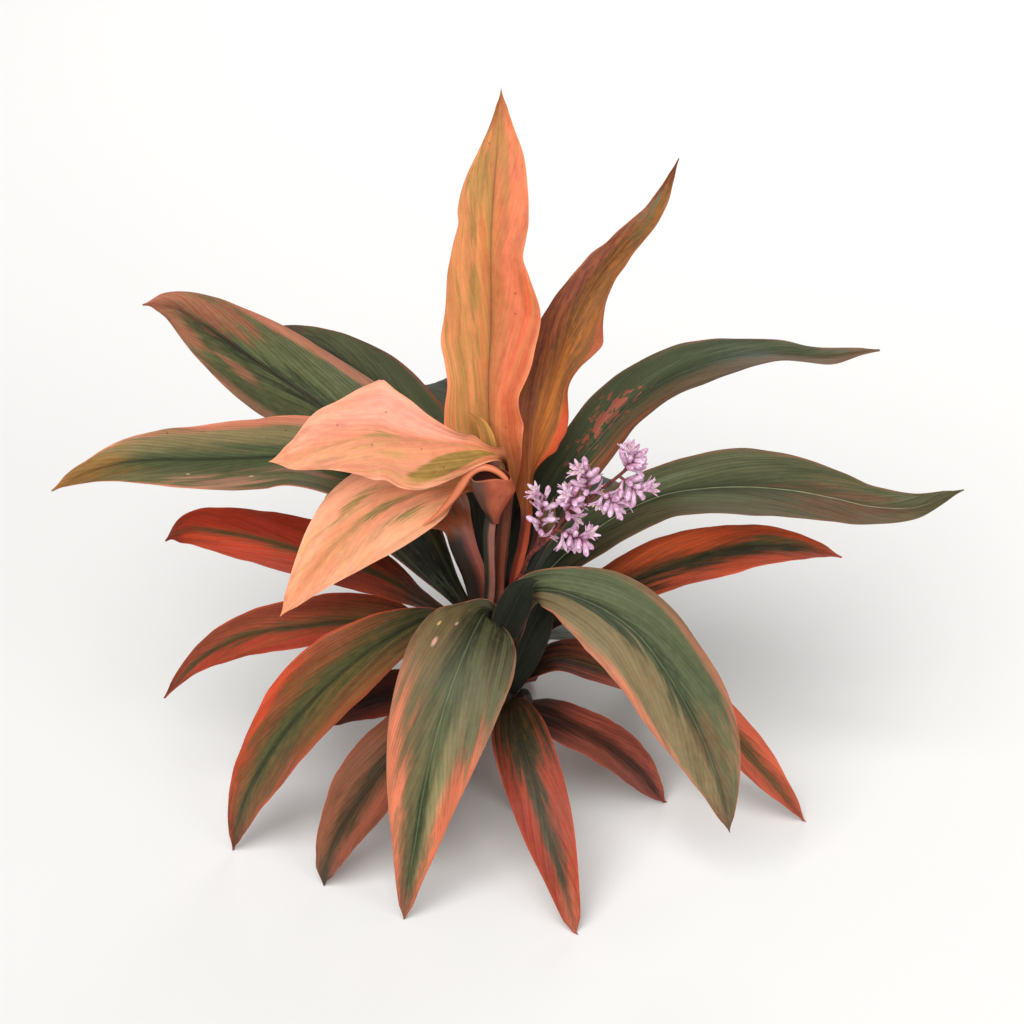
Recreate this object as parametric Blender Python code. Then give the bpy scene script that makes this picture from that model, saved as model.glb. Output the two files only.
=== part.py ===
"""Ti plant, cut and standing on its cane, in metres with +Z up.

The leaves are laid out as they are seen from the front by an eye two metres
away and thirty degrees above the floor.  A leaf's path gives, in millimetres,
how far across and how far up each point of its midrib is seen from the crown,
and how far it really lies behind the cane.
"""

import math
import random

import bmesh
import bpy
from mathutils import Vector

MM = 0.001

# the cane
CANE_HEIGHT = 196 * MM
CANE_LEAN = -26 * MM
CANE_FOOT_RADIUS = 10.5 * MM
CANE_TOP_RADIUS = 7.0 * MM
CANE_SIDES = 12
CANE_RINGS = 17
RING_RELIEF = 0.6 * MM
RING_HALF = 0.32

# the crown, where the upper leaf stalks meet, and the eye that looks at it
CROWN = Vector((CANE_LEAN, 0, 190 * MM))
EYE_DISTANCE = 2200 * MM
EYE_RISE = math.radians(30)
CENTRE_ACROSS = 12.8 * MM
CENTRE_UP = 84.8 * MM
RIGHT = Vector((1, 0, 0))
UPWARD = Vector((0, math.sin(EYE_RISE), math.cos(EYE_RISE)))
TOWARD = Vector((0, -math.cos(EYE_RISE), math.sin(EYE_RISE)))
SKY = Vector((0, 0, 1))
EYE = CROWN + CENTRE_ACROSS * RIGHT + CENTRE_UP * UPWARD + EYE_DISTANCE * TOWARD

# the leaves
SEAT_GAP = 0.3 * MM
STALK_WIDTH = 8.5 * MM
STALK_THICKNESS = 3.4 * MM
STALK_CHANNEL = 0.34
FOOT_LENGTH = 7 * MM
BLADE_THICKNESS = 0.8 * MM
RIB_THICKNESS = 2.2 * MM
TIP_THICKNESS = 0.7 * MM
ACROSS_STEPS = (-1, -0.55, 0, 0.55, 1)
STEPS_PER_POINT = 2
FLOOR_CLEARANCE = 0.9 * MM
WIDENING = 16 * MM
FOLD_CURVE = 1.6
SIDE_LAG = 1.3
TAPER_START = 0.55
TAPER_LENGTH = 0.4

SALMON = (0.86, 0.37, 0.20)
ORANGE = (0.62, 0.20, 0.08)
RED = (0.40, 0.06, 0.03)
MAROON = (0.13, 0.03, 0.02)
GREEN = (0.10, 0.12, 0.05)
DARK_GREEN = (0.04, 0.06, 0.03)
OLIVE = (0.16, 0.12, 0.04)
CANE_BROWN = (0.22, 0.15, 0.09)
LILAC = (0.68, 0.40, 0.60)

# Each path point is: across, up, back, width (all mm) and roll (degrees).
LEAVES = (
    dict(name="leaf_upright", colour=SALMON, seat=(190, 75), fold=0.10, wave=(3.2, 4.5, 0.0), steps=3,
         path=((5, 30, 10, 8.5, 0), (9, 70, 14, 8.5, 0), (11, 98, 20, 10, 0), (8, 116, 26, 30, 0),
               (-4, 148, 34, 62, 0), (-6, 190, 44, 72, 0), (-4, 230, 54, 74, 0), (-4, 268, 64, 66, 0),
               (-4, 302, 74, 57, 0), (-2, 340, 86, 48, 0), (1, 376, 100, 32, 0), (4, 425, 120, 1.5, 0))),
    dict(name="leaf_young", colour=ORANGE, seat=(195, 122), foot=2, fold=0.95, wave=(0, 0, 0),
         path=((-4, 30, 8, 6.5, 0), (-4, 75, 10, 7, 0), (-3, 115, 15, 11, 0), (-6, 140, 18, 12, 0),
               (-12, 156, 22, 8, 0), (-22, 165, 24, 1.5, 0))),
    dict(name="leaf_twisted", colour=OLIVE, seat=(188, 12), fold=0.16, wave=(2.5, 4.0, 1.0), steps=3,
         path=((15, 30, 7, 8.5, 10), (22, 60, 14, 8.5, 15), (25, 84, 22, 10, 20), (26, 106, 32, 24, 25),
               (31, 140, 50, 44, 25), (40, 174, 64, 52, 25), (51, 206, 74, 54, 30), (68, 240, 82, 54, 35),
               (87, 270, 94, 42, 45), (107, 297, 108, 30, 50), (127, 325, 122, 17, 45),
               (146, 368, 140, 1.5, 30))),
    dict(name="leaf_bent_across", colour=SALMON, seat=(194, -76), fold=0.06, wave=(1.0, 2.0, 0.5), steps=3,
         path=((2, 30, 1, 8.5, 0), (5, 70, 3, 8.5, 0), (9, 106, 3, 8.5, 0), (4, 129, -4, 12, 0),
               (-26, 138, -14, 36, 0), (-62, 142, -20, 58, 0), (-97, 145, -24, 74, 0),
               (-129, 140, -27, 56, 0), (-158, 131, -29, 25, 0), (-182, 125, -30, 1.5, 0))),
    dict(name="leaf_bent_down", colour=SALMON, seat=(185, -135), fold=0.08, wave=(1.0, 2.0, 2.0), steps=3,
         path=((-5, 26, -9, 8.5, 0), (-6, 64, -10, 8.5, 0), (-4, 90, -9, 12, 0), (-18, 103, 2, 28, 0),
               (-45, 104, 6, 50, 0), (-75, 96, -1, 66, 0), (-104, 80, -9, 68, 0), (-128, 58, -16, 54, 0),
               (-150, 32, -22, 30, 0), (-173, 1, -32, 1.5, 0))),
    dict(name="leaf_upper_left", colour=GREEN, seat=(189, 158), fold=0.12, wave=(2.0, 2.5, 0.0),
         path=((-10, 26, 2, 8.5, 0), (-21, 56, 8, 9, 0), (-31, 80, 22, 14, -10), (-45, 101, 50, 34, -20),
               (-77, 129, 77, 68, -30), (-109, 150, 100, 82, -30), (-142, 172, 116, 84, -30),
               (-175, 194, 128, 84, -30), (-204, 214, 137, 74, -30), (-234, 235, 145, 54, -30),
               (-260, 250, 150, 28, -32), (-283, 251, 154, 1.5, -35))),
    dict(name="leaf_upper_left_behind", colour=DARK_GREEN, seat=(181, 112), fold=0.12, wave=(1.5, 2.0, 0.7),
         path=((-8, 30, 18, 8.5, 0), (-12, 68, 42, 16, 0), (-18, 98, 66, 24, -5),
               (-44, 130, 100, 46, -20), (-70, 156, 126, 62, -25), (-96, 184, 153, 62, -25),
               (-126, 208, 175, 46, -25), (-158, 224, 188, 24, -25), (-186, 231, 196, 1.5, -25))),
    dict(name="leaf_back_arching", colour=DARK_GREEN, seat=(173, 86), fold=0.12, wave=(1.5, 2.0, 0.3),
         facing="sky",
         path=((4, 26, 30, 8.5, 0), (5, 78, 66, 12, 0), (2, 128, 106, 40, 0), (-12, 166, 150, 60, 0),
               (-35, 185, 194, 66, 0), (-56, 186, 236, 52, 0), (-68, 170, 274, 28, 0),
               (-76, 150, 304, 1.5, 0))),
    dict(name="leaf_left_long", colour=GREEN, seat=(172, 170), fold=0.12, wave=(2.0, 2.5, 1.0),
         path=((-22, 4, 14, 8.5, -30), (-45, 34, 24, 18, -20), (-73, 72, 26, 46, -15),
               (-109, 110, 29, 70, -25),
               (-157, 128, 36, 78, -38), (-200, 128, 43, 76, -40), (-237, 127, 44, 68, -40),
               (-268, 127, 44, 58, -40), (-300, 124, 44, 42, -40), (-330, 115, 43, 22, -40),
               (-356, 102, 42, 1.5, -40))),
    dict(name="leaf_left_upper_red", colour=RED, seat=(160, 154), fold=0.12, wave=(2.0, 2.0, 0.0),
         path=((-26, -6, 11, 8.5, -50), (-50, 8, 17, 16, -50), (-82, 28, 23, 40, -48),
               (-117, 44, 27, 60, -46),
               (-156, 54, 31, 64, -45), (-190, 63, 33, 60, -45), (-220, 69, 35, 50, -45),
               (-246, 71, 36, 36, -45), (-265, 62, 36, 1.5, -45))),
    dict(name="leaf_left_red", colour=RED, seat=(150, 178), fold=0.12, wave=(2.0, 2.0, 2.0),
         path=((-28, -20, 1, 8.5, -55), (-56, -8, 4, 18, -55), (-88, -2, 10, 44, -52),
               (-122, -3, 13, 58, -48),
               (-154, -6, 14, 58, -46), (-184, -10, 14, 52, -45), (-212, -19, 14, 42, -45),
               (-240, -36, 14, 24, -45), (-266, -64, 14, 1.5, -45))),
    dict(name="leaf_lower_left", colour=ORANGE, seat=(157, -158), fold=0.12, wave=(2.0, 2.5, 0.0), rests=True,
         path=((-26, -10, -15, 8.5, -50), (-52, 0, -22, 26, -48), (-80, -12, -35, 54, -45),
               (-112, -34, -45, 70, -42),
               (-139, -58, -50, 76, -40), (-163, -84, -53, 72, -38), (-184, -114, -55, 58, -36),
               (-201, -146, -55, 36, -34), (-211, -188, -55, 1.5, -34))),
    dict(name="leaf_low_dark", colour=MAROON, seat=(124, 172), fold=0.12, wave=(1.5, 2.0, 0.0),
         path=((-14, -56, 8, 8.5, -55), (-36, -56, 10, 26, -52), (-64, -58, 12, 48, -50),
               (-95, -64, 13, 50, -50),
               (-124, -74, 13, 36, -50), (-150, -90, 12, 1.5, -50))),
    dict(name="leaf_low_brown", colour=ORANGE, seat=(132, -140), fold=0.12, wave=(1.5, 2.0, 1.0), rests=True,
         path=((-14, -62, -22, 8.5, -45), (-38, -70, -40, 28, -42), (-66, -90, -58, 52, -40),
               (-89, -118, -75, 62, -38),
               (-109, -146, -87, 60, -36), (-125, -172, -95, 44, -36), (-135, -196, -100, 25, -36),
               (-138, -217, -102, 1.5, -36))),
    dict(name="leaf_front_large", colour=GREEN, seat=(168, -100), fold=0.10, wave=(2.0, 2.5, 0.0), rests=True,
         path=((-3, -8, -20, 8.5, 0), (-8, 4, -36, 22, 0), (-16, -8, -54, 66, 0), (-26, -30, -74, 84, 0),
               (-36, -56, -92, 84, 0), (-46, -88, -108, 78, 0), (-54, -120, -122, 66, 0),
               (-60, -150, -132, 52, 0), (-65, -182, -139, 36, 0), (-70, -212, -143, 20, 0),
               (-74, -247, -145, 1.5, 0))),
    dict(name="leaf_front_right", colour=GREEN, seat=(174, -50), fold=0.10, wave=(2.0, 2.5, 1.0),
         path=((13, -14, -20, 12, 0), (19, 8, -26, 16, 0), (28, 21, -32, 24, -5),
               (46, 22, -40, 36, -12), (66, 16, -50, 52, -16), (89, 5, -62, 68, -18),
               (113, -13, -74, 74, -20), (134, -40, -86, 74, -20), (152, -70, -96, 72, -20),
               (167, -101, -104, 58, -20), (179, -136, -110, 32, -20), (187, -172, -114, 1.5, -20))),
    dict(name="leaf_front_low", colour=RED, seat=(128, -80), fold=0.12, wave=(1.5, 2.0, 0.0), rests=True,
         path=((12, -66, -21, 8.5, 0), (15, -74, -36, 28, 0), (18, -90, -54, 44, 0),
               (25, -114, -77, 48, 0), (34, -143, -102, 46, 0), (43, -174, -124, 40, 0),
               (52, -206, -142, 28, 0), (60, -238, -156, 15, 0), (65, -260, -164, 1.5, 0))),
    dict(name="leaf_low_right", colour=MAROON, seat=(120, -20), fold=0.12, wave=(1.5, 2.0, 0.5), rests=True,
         path=((28, -72, -9, 8.5, 45), (48, -80, -8, 28, 42), (71, -91, -5, 42, 40), (94, -105, -1, 44, 38),
               (117, -125, 5, 32, 36), (137, -150, 12, 1.5, 36))),
    dict(name="leaf_right_behind", colour=RED, seat=(138, 5), fold=0.12, wave=(2.0, 2.0, 0.0), rests=True,
         path=((26, -42, 0, 8.5, 50), (48, -32, 2, 28, 48), (78, -38, 2, 48, 45), (118, -52, 0, 54, 42),
               (158, -72, -4, 50, 40), (190, -96, -8, 42, 38), (219, -127, -12, 30, 36),
               (248, -164, -16, 1.5, 36))),
    dict(name="leaf_right_red", colour=RED, seat=(146, 25), fold=0.12, wave=(2.0, 2.0, 0.5),
         path=((26, -24, 10, 8.5, 40), (46, -2, 15, 16, 40), (72, 14, 19, 34, 40), (102, 27, 22, 52, 40),
               (140, 42, 24, 56, 42), (176, 51, 25, 52, 42), (210, 57, 25, 44, 42), (244, 56, 24, 27, 42),
               (277, 49, 22, 1.5, 42))),
    dict(name="leaf_right_long", colour=GREEN, seat=(171, 12), fold=0.12, wave=(2.0, 2.5, 0.0),
         path=((23, 14, 10, 8.5, 30), (42, 38, 14, 22, 35), (63, 58, 15, 42, 40), (95, 81, 17, 56, 43),
               (132, 98, 20, 62, 45), (168, 104, 20, 70, 45), (203, 105, 19, 74, 45),
               (238, 102, 17, 68, 45), (270, 96, 14, 56, 44), (302, 89, 10, 42, 42),
               (338, 89, 5, 24, 40), (374, 103, 0, 1.5, 40))),
    dict(name="leaf_right_arching", colour=DARK_GREEN, seat=(180, 50), fold=0.14, wave=(2.0, 2.5, 1.0),
         path=((16, 26, 16, 8.5, 10), (28, 54, 32, 16, 20), (41, 84, 48, 32, 30),
               (56, 112, 58, 52, 35), (79, 140, 66, 62, 42), (104, 168, 72, 64, 50),
               (137, 191, 79, 64, 55), (174, 205, 84, 62, 58), (215, 211, 88, 46, 62),
               (262, 209, 91, 24, 62), (307, 215, 94, 1.5, 60))),
    dict(name="leaf_back_left", colour=DARK_GREEN, seat=(144, 122), fold=0.12, wave=(1.5, 2.0, 0.0),
         facing="sky", rests=True,
         path=((-12, -22, 26, 8.5, 0), (-28, -14, 56, 16, 0), (-48, -10, 92, 46, 0), (-68, -14, 126, 62, 0),
               (-86, -22, 156, 62, 0), (-100, -34, 180, 46, 0), (-110, -46, 197, 24, 0),
               (-118, -60, 212, 1.5, 0))),
    dict(name="leaf_back_right", colour=DARK_GREEN, seat=(136, 64), fold=0.12, wave=(1.5, 2.0, 0.6),
         facing="sky", rests=True,
         path=((16, -26, 26, 8.5, 0), (34, -16, 58, 16, 0), (58, -12, 96, 46, 0), (82, -16, 132, 62, 0),
               (102, -26, 162, 60, 0), (117, -38, 184, 44, 0), (128, -50, 200, 24, 0),
               (137, -64, 214, 1.5, 0))),
    dict(name="leaf_back_low", colour=DARK_GREEN, seat=(128, 92), fold=0.12, wave=(1.5, 2.0, 0.3),
         facing="sky", rests=True,
         path=((6, -44, 28, 8.5, 0), (8, -36, 60, 20, 0), (9, -32, 100, 48, 0), (10, -36, 138, 58, 0),
               (11, -46, 172, 54, 0), (11, -58, 200, 36, 0), (10, -70, 222, 1.5, 0))),
    dict(name="leaf_back_mid", colour=DARK_GREEN, seat=(153, 92), fold=0.12, wave=(1.5, 2.0, 0.5),
         facing="sky",
         path=((5, 8, 28, 8.5, 0), (7, 40, 64, 10, 0), (8, 72, 104, 40, 0), (4, 94, 146, 56, 0),
               (0, 102, 188, 56, 0), (-4, 100, 226, 44, 0), (-6, 90, 258, 24, 0),
               (-6, 76, 282, 1.5, 0))),
    dict(name="leaf_back_mid_left", colour=DARK_GREEN, seat=(167, 118), fold=0.12, wave=(1.5, 2.0, 0.9),
         facing="sky",
         path=((-11, 26, 26, 8.5, 0), (-23, 62, 58, 10, 0), (-42, 92, 92, 30, 0),
               (-70, 108, 128, 50, 0), (-96, 110, 164, 56, 0), (-116, 102, 196, 44, 0),
               (-128, 88, 220, 24, 0), (-134, 72, 238, 1.5, 0))),
    dict(name="leaf_back_mid_right", colour=DARK_GREEN, seat=(162, 48), fold=0.12, wave=(1.5, 2.0, 0.1),
         facing="sky",
         path=((14, 10, 26, 8.5, 0), (28, 44, 58, 12, 0), (46, 76, 92, 38, 0), (66, 96, 128, 52, 0),
               (84, 106, 162, 52, 0), (98, 108, 194, 40, 0), (108, 104, 220, 22, 0),
               (114, 96, 238, 1.5, 0))),
)

# the bract that stands on the flower stalk
BRACT = dict(name="bract", colour=OLIVE, fold=0.30, wave=(0, 0, 0),
             path=((25, 46, -15, 3, 0), (30, 56, -10, 6, 0), (35, 66, -6, 11, 0), (40, 78, -3, 15, 0),
                   (44, 88, -1, 9, 0), (46, 97, 1, 1.5, 0)))

# the flower panicle
PANICLE_SEAT = (194, -33)
PANICLE_STALK = ((16, 26, -8), (22, 38, -12), (27, 50, -18), (38, 60, -24), (49, 72, -28), (58, 84, -31),
                 (70, 90, -33), (82, 101, -35), (96, 112, -37), (108, 122, -38))
PANICLE_BRANCHES = (
    dict(leaves_at=(33, 56, -21), ends_at=(39, 98, -30), florets=8),
    dict(leaves_at=(54, 79, -30), ends_at=(62, 98, -42), florets=8),
    dict(leaves_at=(48, 71, -28), ends_at=(71, 62, -44), florets=9),
    dict(leaves_at=(74, 94, -34), ends_at=(72, 118, -38), florets=8),
    dict(leaves_at=(84, 103, -36), ends_at=(96, 90, -48), florets=7),
    dict(leaves_at=(98, 114, -37), ends_at=(115, 101, -46), florets=8),
    dict(leaves_at=(102, 117, -38), ends_at=(110, 128, -38), florets=8),
)
STALK_RADIUS = 2.2 * MM
STALK_SIDES = 7
BRANCH_RADIUS = 1.0 * MM
BRANCH_SIDES = 5
FLORET_LENGTH = 14 * MM
FLORET_RADIUS = 2.5 * MM
FLORET_SIDES = 5
BUD_PROFILE = ((0, 0.30), (0.45, 0.70), (0.8, 1.0), (1.0, 0.3))
OPEN_PROFILE = ((0, 0.30), (0.5, 0.65), (0.75, 1.2), (1.0, 2.0))
OPEN_EVERY = 3


def clear_scene():
    for old in list(bpy.data.objects):
        bpy.data.objects.remove(old, do_unlink=True)


def make_material(name, colour, roughness=0.45):
    material = bpy.data.materials.new(name)
    material.use_nodes = True
    shader = material.node_tree.nodes["Principled BSDF"]
    shader.inputs["Base Color"].default_value = (*colour, 1)
    shader.inputs["Roughness"].default_value = roughness
    shader.inputs["Metallic"].default_value = 0
    return material


def add_object(name, points, faces, colour, roughness=0.45):
    mesh = bpy.data.meshes.new(name)
    mesh.from_pydata([tuple(point) for point in points], [], faces)
    mesh.validate()
    mesh.shade_smooth()
    mesh.set_sharp_from_angle(angle=math.radians(40))
    mesh.materials.append(make_material(name, colour, roughness))
    made = bpy.data.objects.new(name, mesh)
    bpy.context.scene.collection.objects.link(made)
    return made


def seen(across, up, back):
    """The point seen that far from the crown, where its sight line is that far behind the cane."""
    target = CROWN + across * MM * RIGHT + up * MM * UPWARD
    sight = target - EYE
    return EYE + sight * ((back * MM - EYE.y) / sight.y)


def cane_centre(height):
    return Vector((CANE_LEAN * height / CROWN.z, 0, height))


def cane_radius(height):
    share = height / CANE_HEIGHT
    return CANE_FOOT_RADIUS + (CANE_TOP_RADIUS - CANE_FOOT_RADIUS) * share


def make_cane():
    """A tapered column with a low ridge at each old leaf scar, closed by flat ends."""
    levels = [(0.0, 0.0)]
    spacing = CANE_HEIGHT / CANE_RINGS
    for ring in range(CANE_RINGS):
        middle = (ring + 0.5) * spacing
        levels.append((middle - RING_HALF * spacing, RING_RELIEF))
        levels.append((middle + RING_HALF * spacing, 0.0))
    levels.append((CANE_HEIGHT, RING_RELIEF))
    points = []
    for height, inset in levels:
        centre = cane_centre(height)
        radius = cane_radius(height) - inset
        for side in range(CANE_SIDES):
            angle = 2 * math.pi * side / CANE_SIDES
            points.append(centre + radius * Vector((math.cos(angle), math.sin(angle), 0)))
    faces = [list(range(CANE_SIDES))[::-1]]
    for level in range(len(levels) - 1):
        for side in range(CANE_SIDES):
            low = level * CANE_SIDES
            after = (side + 1) % CANE_SIDES
            faces.append((low + side, low + after, low + CANE_SIDES + after, low + CANE_SIDES + side))
    top = (len(levels) - 1) * CANE_SIDES
    faces.append([top + side for side in range(CANE_SIDES)])
    return add_object("cane", points, faces, CANE_BROWN, 0.8)


def cardinal(before, start, end, after, share):
    """One value on a smooth curve between start and end."""
    first = (end - before) / 2
    last = (after - start) / 2
    square = share * share
    cube = square * share
    return ((2 * cube - 3 * square + 1) * start + (cube - 2 * square + share) * first
            + (3 * square - 2 * cube) * end + (cube - square) * last)


def smooth_rows(rows, steps):
    """Rows of numbers, filled in with smooth rows between them."""
    filled = []
    for index in range(len(rows) - 1):
        before = rows[max(index - 1, 0)]
        after = rows[min(index + 2, len(rows) - 1)]
        for step in range(steps):
            share = step / steps
            filled.append([cardinal(b, s, e, a, share)
                           for b, s, e, a in zip(before, rows[index], rows[index + 1], after)])
    filled.append(list(rows[-1]))
    return filled


def seat_rows(seat, foot_length=FOOT_LENGTH):
    """The outward direction of a stalk's foot, and its two ends: beside the cane and further out."""
    height, azimuth = seat[0] * MM, math.radians(seat[1])
    outward = Vector((math.cos(azimuth), math.sin(azimuth), 0))
    start = cane_centre(height) + outward * (cane_radius(height) + SEAT_GAP)
    return outward, start, start + outward * foot_length


def side_direction(along, facing, roll):
    """The direction across a blade, before it is turned by the roll about its midrib."""
    level = along.cross(SKY if facing == "sky" else TOWARD).normalized()
    face = level.cross(along).normalized()
    turn = math.radians(roll)
    return (level * math.cos(turn) + face * math.sin(turn)).normalized()


def level_roll(along, facing):
    """The roll that turns a stalk's channel to the sky."""
    if facing == "sky":
        return 0.0
    level = along.cross(TOWARD).normalized()
    face = level.cross(along).normalized()
    return math.degrees(math.atan2(-SKY.dot(level), SKY.dot(face)))


def leaf_stations(leaf):
    """Centre, direction along, direction across, width and share of length at each station."""
    facing = leaf.get("facing", "eye")
    rows = []
    outward = None
    if "seat" in leaf:
        outward, start, foot = seat_rows(leaf["seat"], leaf.get("foot", FOOT_LENGTH / MM) * MM)
        foot_width = leaf["path"][0][3] * MM
        foot_roll = level_roll(outward, facing)
        rows = [(*start, foot_width, foot_roll), (*foot, foot_width, foot_roll)]
    for across, up, back, width, roll in leaf["path"]:
        rows.append((*seen(across, up, back), width * MM, roll))
    filled = smooth_rows(rows, leaf.get("steps", STEPS_PER_POINT))
    centres = [Vector(row[:3]) for row in filled]
    if leaf.get("rests"):
        for centre in centres:
            centre.z = max(centre.z, FLOOR_CLEARANCE)
    reach = [0.0]
    for before, after in zip(centres, centres[1:]):
        reach.append(reach[-1] + (after - before).length)
    stations = []
    for index, row in enumerate(filled):
        before = centres[max(index - 1, 0)]
        after = centres[min(index + 1, len(centres) - 1)]
        along = (after - before).normalized()
        if index == 0 and outward:
            along = outward
        across = side_direction(along, facing, row[4])
        stations.append((centres[index], along, across, max(row[3], 1.5 * MM), reach[index] / reach[-1]))
    return stations


def leaf_section(leaf, station):
    """Upper and lower points of one section, both from one edge to the other."""
    centre, along, across, width, share = station
    face = across.cross(along).normalized()
    half = width / 2
    blade_part = min(max((width - STALK_WIDTH) / WIDENING, 0), 1)
    fold = STALK_CHANNEL * (1 - blade_part) + leaf["fold"] * blade_part
    thick_edge = STALK_THICKNESS * 0.5 * (1 - blade_part) + BLADE_THICKNESS * blade_part
    thick_rib = STALK_THICKNESS * (1 - blade_part) + RIB_THICKNESS * blade_part
    tip_part = min(max((share - TAPER_START) / TAPER_LENGTH, 0), 1)
    thick_edge = thick_edge + (TIP_THICKNESS - thick_edge) * tip_part
    thick_rib = thick_rib + (TIP_THICKNESS - thick_rib) * tip_part
    waves, wave_height, wave_start = leaf["wave"]
    ripple = wave_height * MM * blade_part * (1 - tip_part)
    upper, lower = [], []
    for step in ACROSS_STEPS:
        rise = fold * half * abs(step) ** FOLD_CURVE
        swing = math.sin(2 * math.pi * waves * share + wave_start + (SIDE_LAG if step > 0 else 0))
        rise += ripple * step * step * swing
        thickness = thick_edge + (thick_rib - thick_edge) * (1 - abs(step)) ** 2
        point = centre + across * step * half + face * rise
        upper.append(point)
        lower.append(point - face * thickness)
    return upper, lower


def make_leaf(leaf):
    """A closed blade on its channelled stalk, split into triangles alike on both faces."""
    stations = leaf_stations(leaf)
    columns = len(ACROSS_STEPS)
    points = []
    for station in stations:
        upper, lower = leaf_section(leaf, station)
        points.extend(upper)
        points.extend(lower)
    faces = []
    ring = 2 * columns
    for level in range(len(stations) - 1):
        near = level * ring
        far = near + ring
        for column in range(columns - 1):
            left, right = column, column + 1
            faces.append((near + left, near + right, far + right))
            faces.append((near + left, far + right, far + left))
            below_left, below_right = columns + left, columns + right
            faces.append((near + below_left, far + below_right, near + below_right))
            faces.append((near + below_left, far + below_left, far + below_right))
        for edge, turned in ((0, False), (columns - 1, True)):
            quad = (near + edge, far + edge, far + columns + edge, near + columns + edge)
            faces.append(quad[::-1] if turned else quad)
    last = (len(stations) - 1) * ring
    for start, turned in ((0, False), (last, True)):
        cap = list(range(start, start + columns)) + list(range(start + ring - 1, start + columns - 1, -1))
        faces.append(cap if turned else cap[::-1])
    made = add_object(leaf["name"], points, faces, leaf["colour"])
    shape = bmesh.new()
    shape.from_mesh(made.data)
    bmesh.ops.recalc_face_normals(shape, faces=shape.faces)
    shape.to_mesh(made.data)
    shape.free()
    return made


def tube(points, radii, sides, name):
    """A closed round piece through the points, with a radius at each."""
    corners = []
    for index, point in enumerate(points):
        before = points[max(index - 1, 0)]
        after = points[min(index + 1, len(points) - 1)]
        along = (after - before).normalized()
        first = along.cross(SKY if abs(along.z) < 0.9 else RIGHT).normalized()
        second = along.cross(first)
        for side in range(sides):
            angle = 2 * math.pi * side / sides
            corners.append(point + radii[index] * (math.cos(angle) * first + math.sin(angle) * second))
    faces = [list(range(sides))[::-1]]
    for level in range(len(points) - 1):
        for side in range(sides):
            low = level * sides
            after = (side + 1) % sides
            faces.append((low + side, low + after, low + sides + after, low + sides + side))
    top = (len(points) - 1) * sides
    faces.append([top + side for side in range(sides)])
    return add_object(name, corners, faces, LILAC)


def make_floret(root, outward, is_open, name):
    """A lilac bud, or an open floret that flares towards its petals' tips."""
    profile = OPEN_PROFILE if is_open else BUD_PROFILE
    points = [root + outward * FLORET_LENGTH * share for share, size in profile]
    radii = [FLORET_RADIUS * size for share, size in profile]
    return tube(points, radii, FLORET_SIDES, name)


def make_panicle():
    """The stalk, its side branches and their florets, united into one body."""
    draw = random.Random(7)
    pieces = bpy.data.collections.new("panicle_pieces")
    outward, start, foot = seat_rows(PANICLE_SEAT)
    rows = [tuple(start), tuple(foot)] + [tuple(seen(*point)) for point in PANICLE_STALK]
    line = [Vector(row) for row in smooth_rows(rows, 1)]
    radii = [STALK_RADIUS * (1 - 0.45 * index / (len(line) - 1)) for index in range(len(line))]
    stalk = tube(line, radii, STALK_SIDES, "panicle")
    for number, branch in enumerate(PANICLE_BRANCHES):
        root = seen(*branch["leaves_at"])
        tip = seen(*branch["ends_at"])
        branch_radii = [BRANCH_RADIUS * 1.3, BRANCH_RADIUS * 0.8]
        pieces.objects.link(tube([root, tip], branch_radii, BRANCH_SIDES, f"branch_{number}"))
        reach = (tip - root).normalized()
        for count in range(branch["florets"]):
            share = 0.3 + 0.7 * (count + 0.5) / branch["florets"]
            around = 2.4 * count + draw.uniform(-0.3, 0.3)
            level = reach.cross(TOWARD).normalized()
            ringward = math.cos(around) * level + math.sin(around) * reach.cross(level)
            heading = (reach * (0.25 + 0.5 * share) + ringward * 0.9).normalized()
            floret = make_floret(root.lerp(tip, share), heading, count % OPEN_EVERY == 0,
                                 f"floret_{number}_{count}")
            pieces.objects.link(floret)
    bract = make_leaf(BRACT)
    pieces.objects.link(bract)
    union = stalk.modifiers.new("unite", "BOOLEAN")
    union.operand_type = "COLLECTION"
    union.collection = pieces
    union.operation = "UNION"
    union.solver = "MANIFOLD"
    bpy.context.view_layer.update()
    evaluated = stalk.evaluated_get(bpy.context.evaluated_depsgraph_get())
    united = bpy.data.meshes.new_from_object(evaluated)
    stalk.modifiers.clear()
    stalk.data = united
    for piece in list(pieces.objects):
        bpy.data.objects.remove(piece, do_unlink=True)
    bpy.data.collections.remove(pieces)
    return stalk


def centre_over_floor():
    """Move the plant so that the middle of its box is over the origin."""
    made = [item for item in bpy.data.objects if item.type == "MESH"]
    corners = [vertex.co for item in made for vertex in item.data.vertices]
    middle_x = (min(c.x for c in corners) + max(c.x for c in corners)) / 2
    middle_y = (min(c.y for c in corners) + max(c.y for c in corners)) / 2
    for item in made:
        for vertex in item.data.vertices:
            vertex.co.x -= middle_x
            vertex.co.y -= middle_y


def main():
    clear_scene()
    make_cane()
    for leaf in LEAVES:
        make_leaf(leaf)
    make_panicle()
    centre_over_floor()


main()
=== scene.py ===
# Looks of a flowering ti plant that stands cut on its cane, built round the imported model

import math
import random

import bpy
import numpy as np
from mathutils import Matrix, Vector


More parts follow.
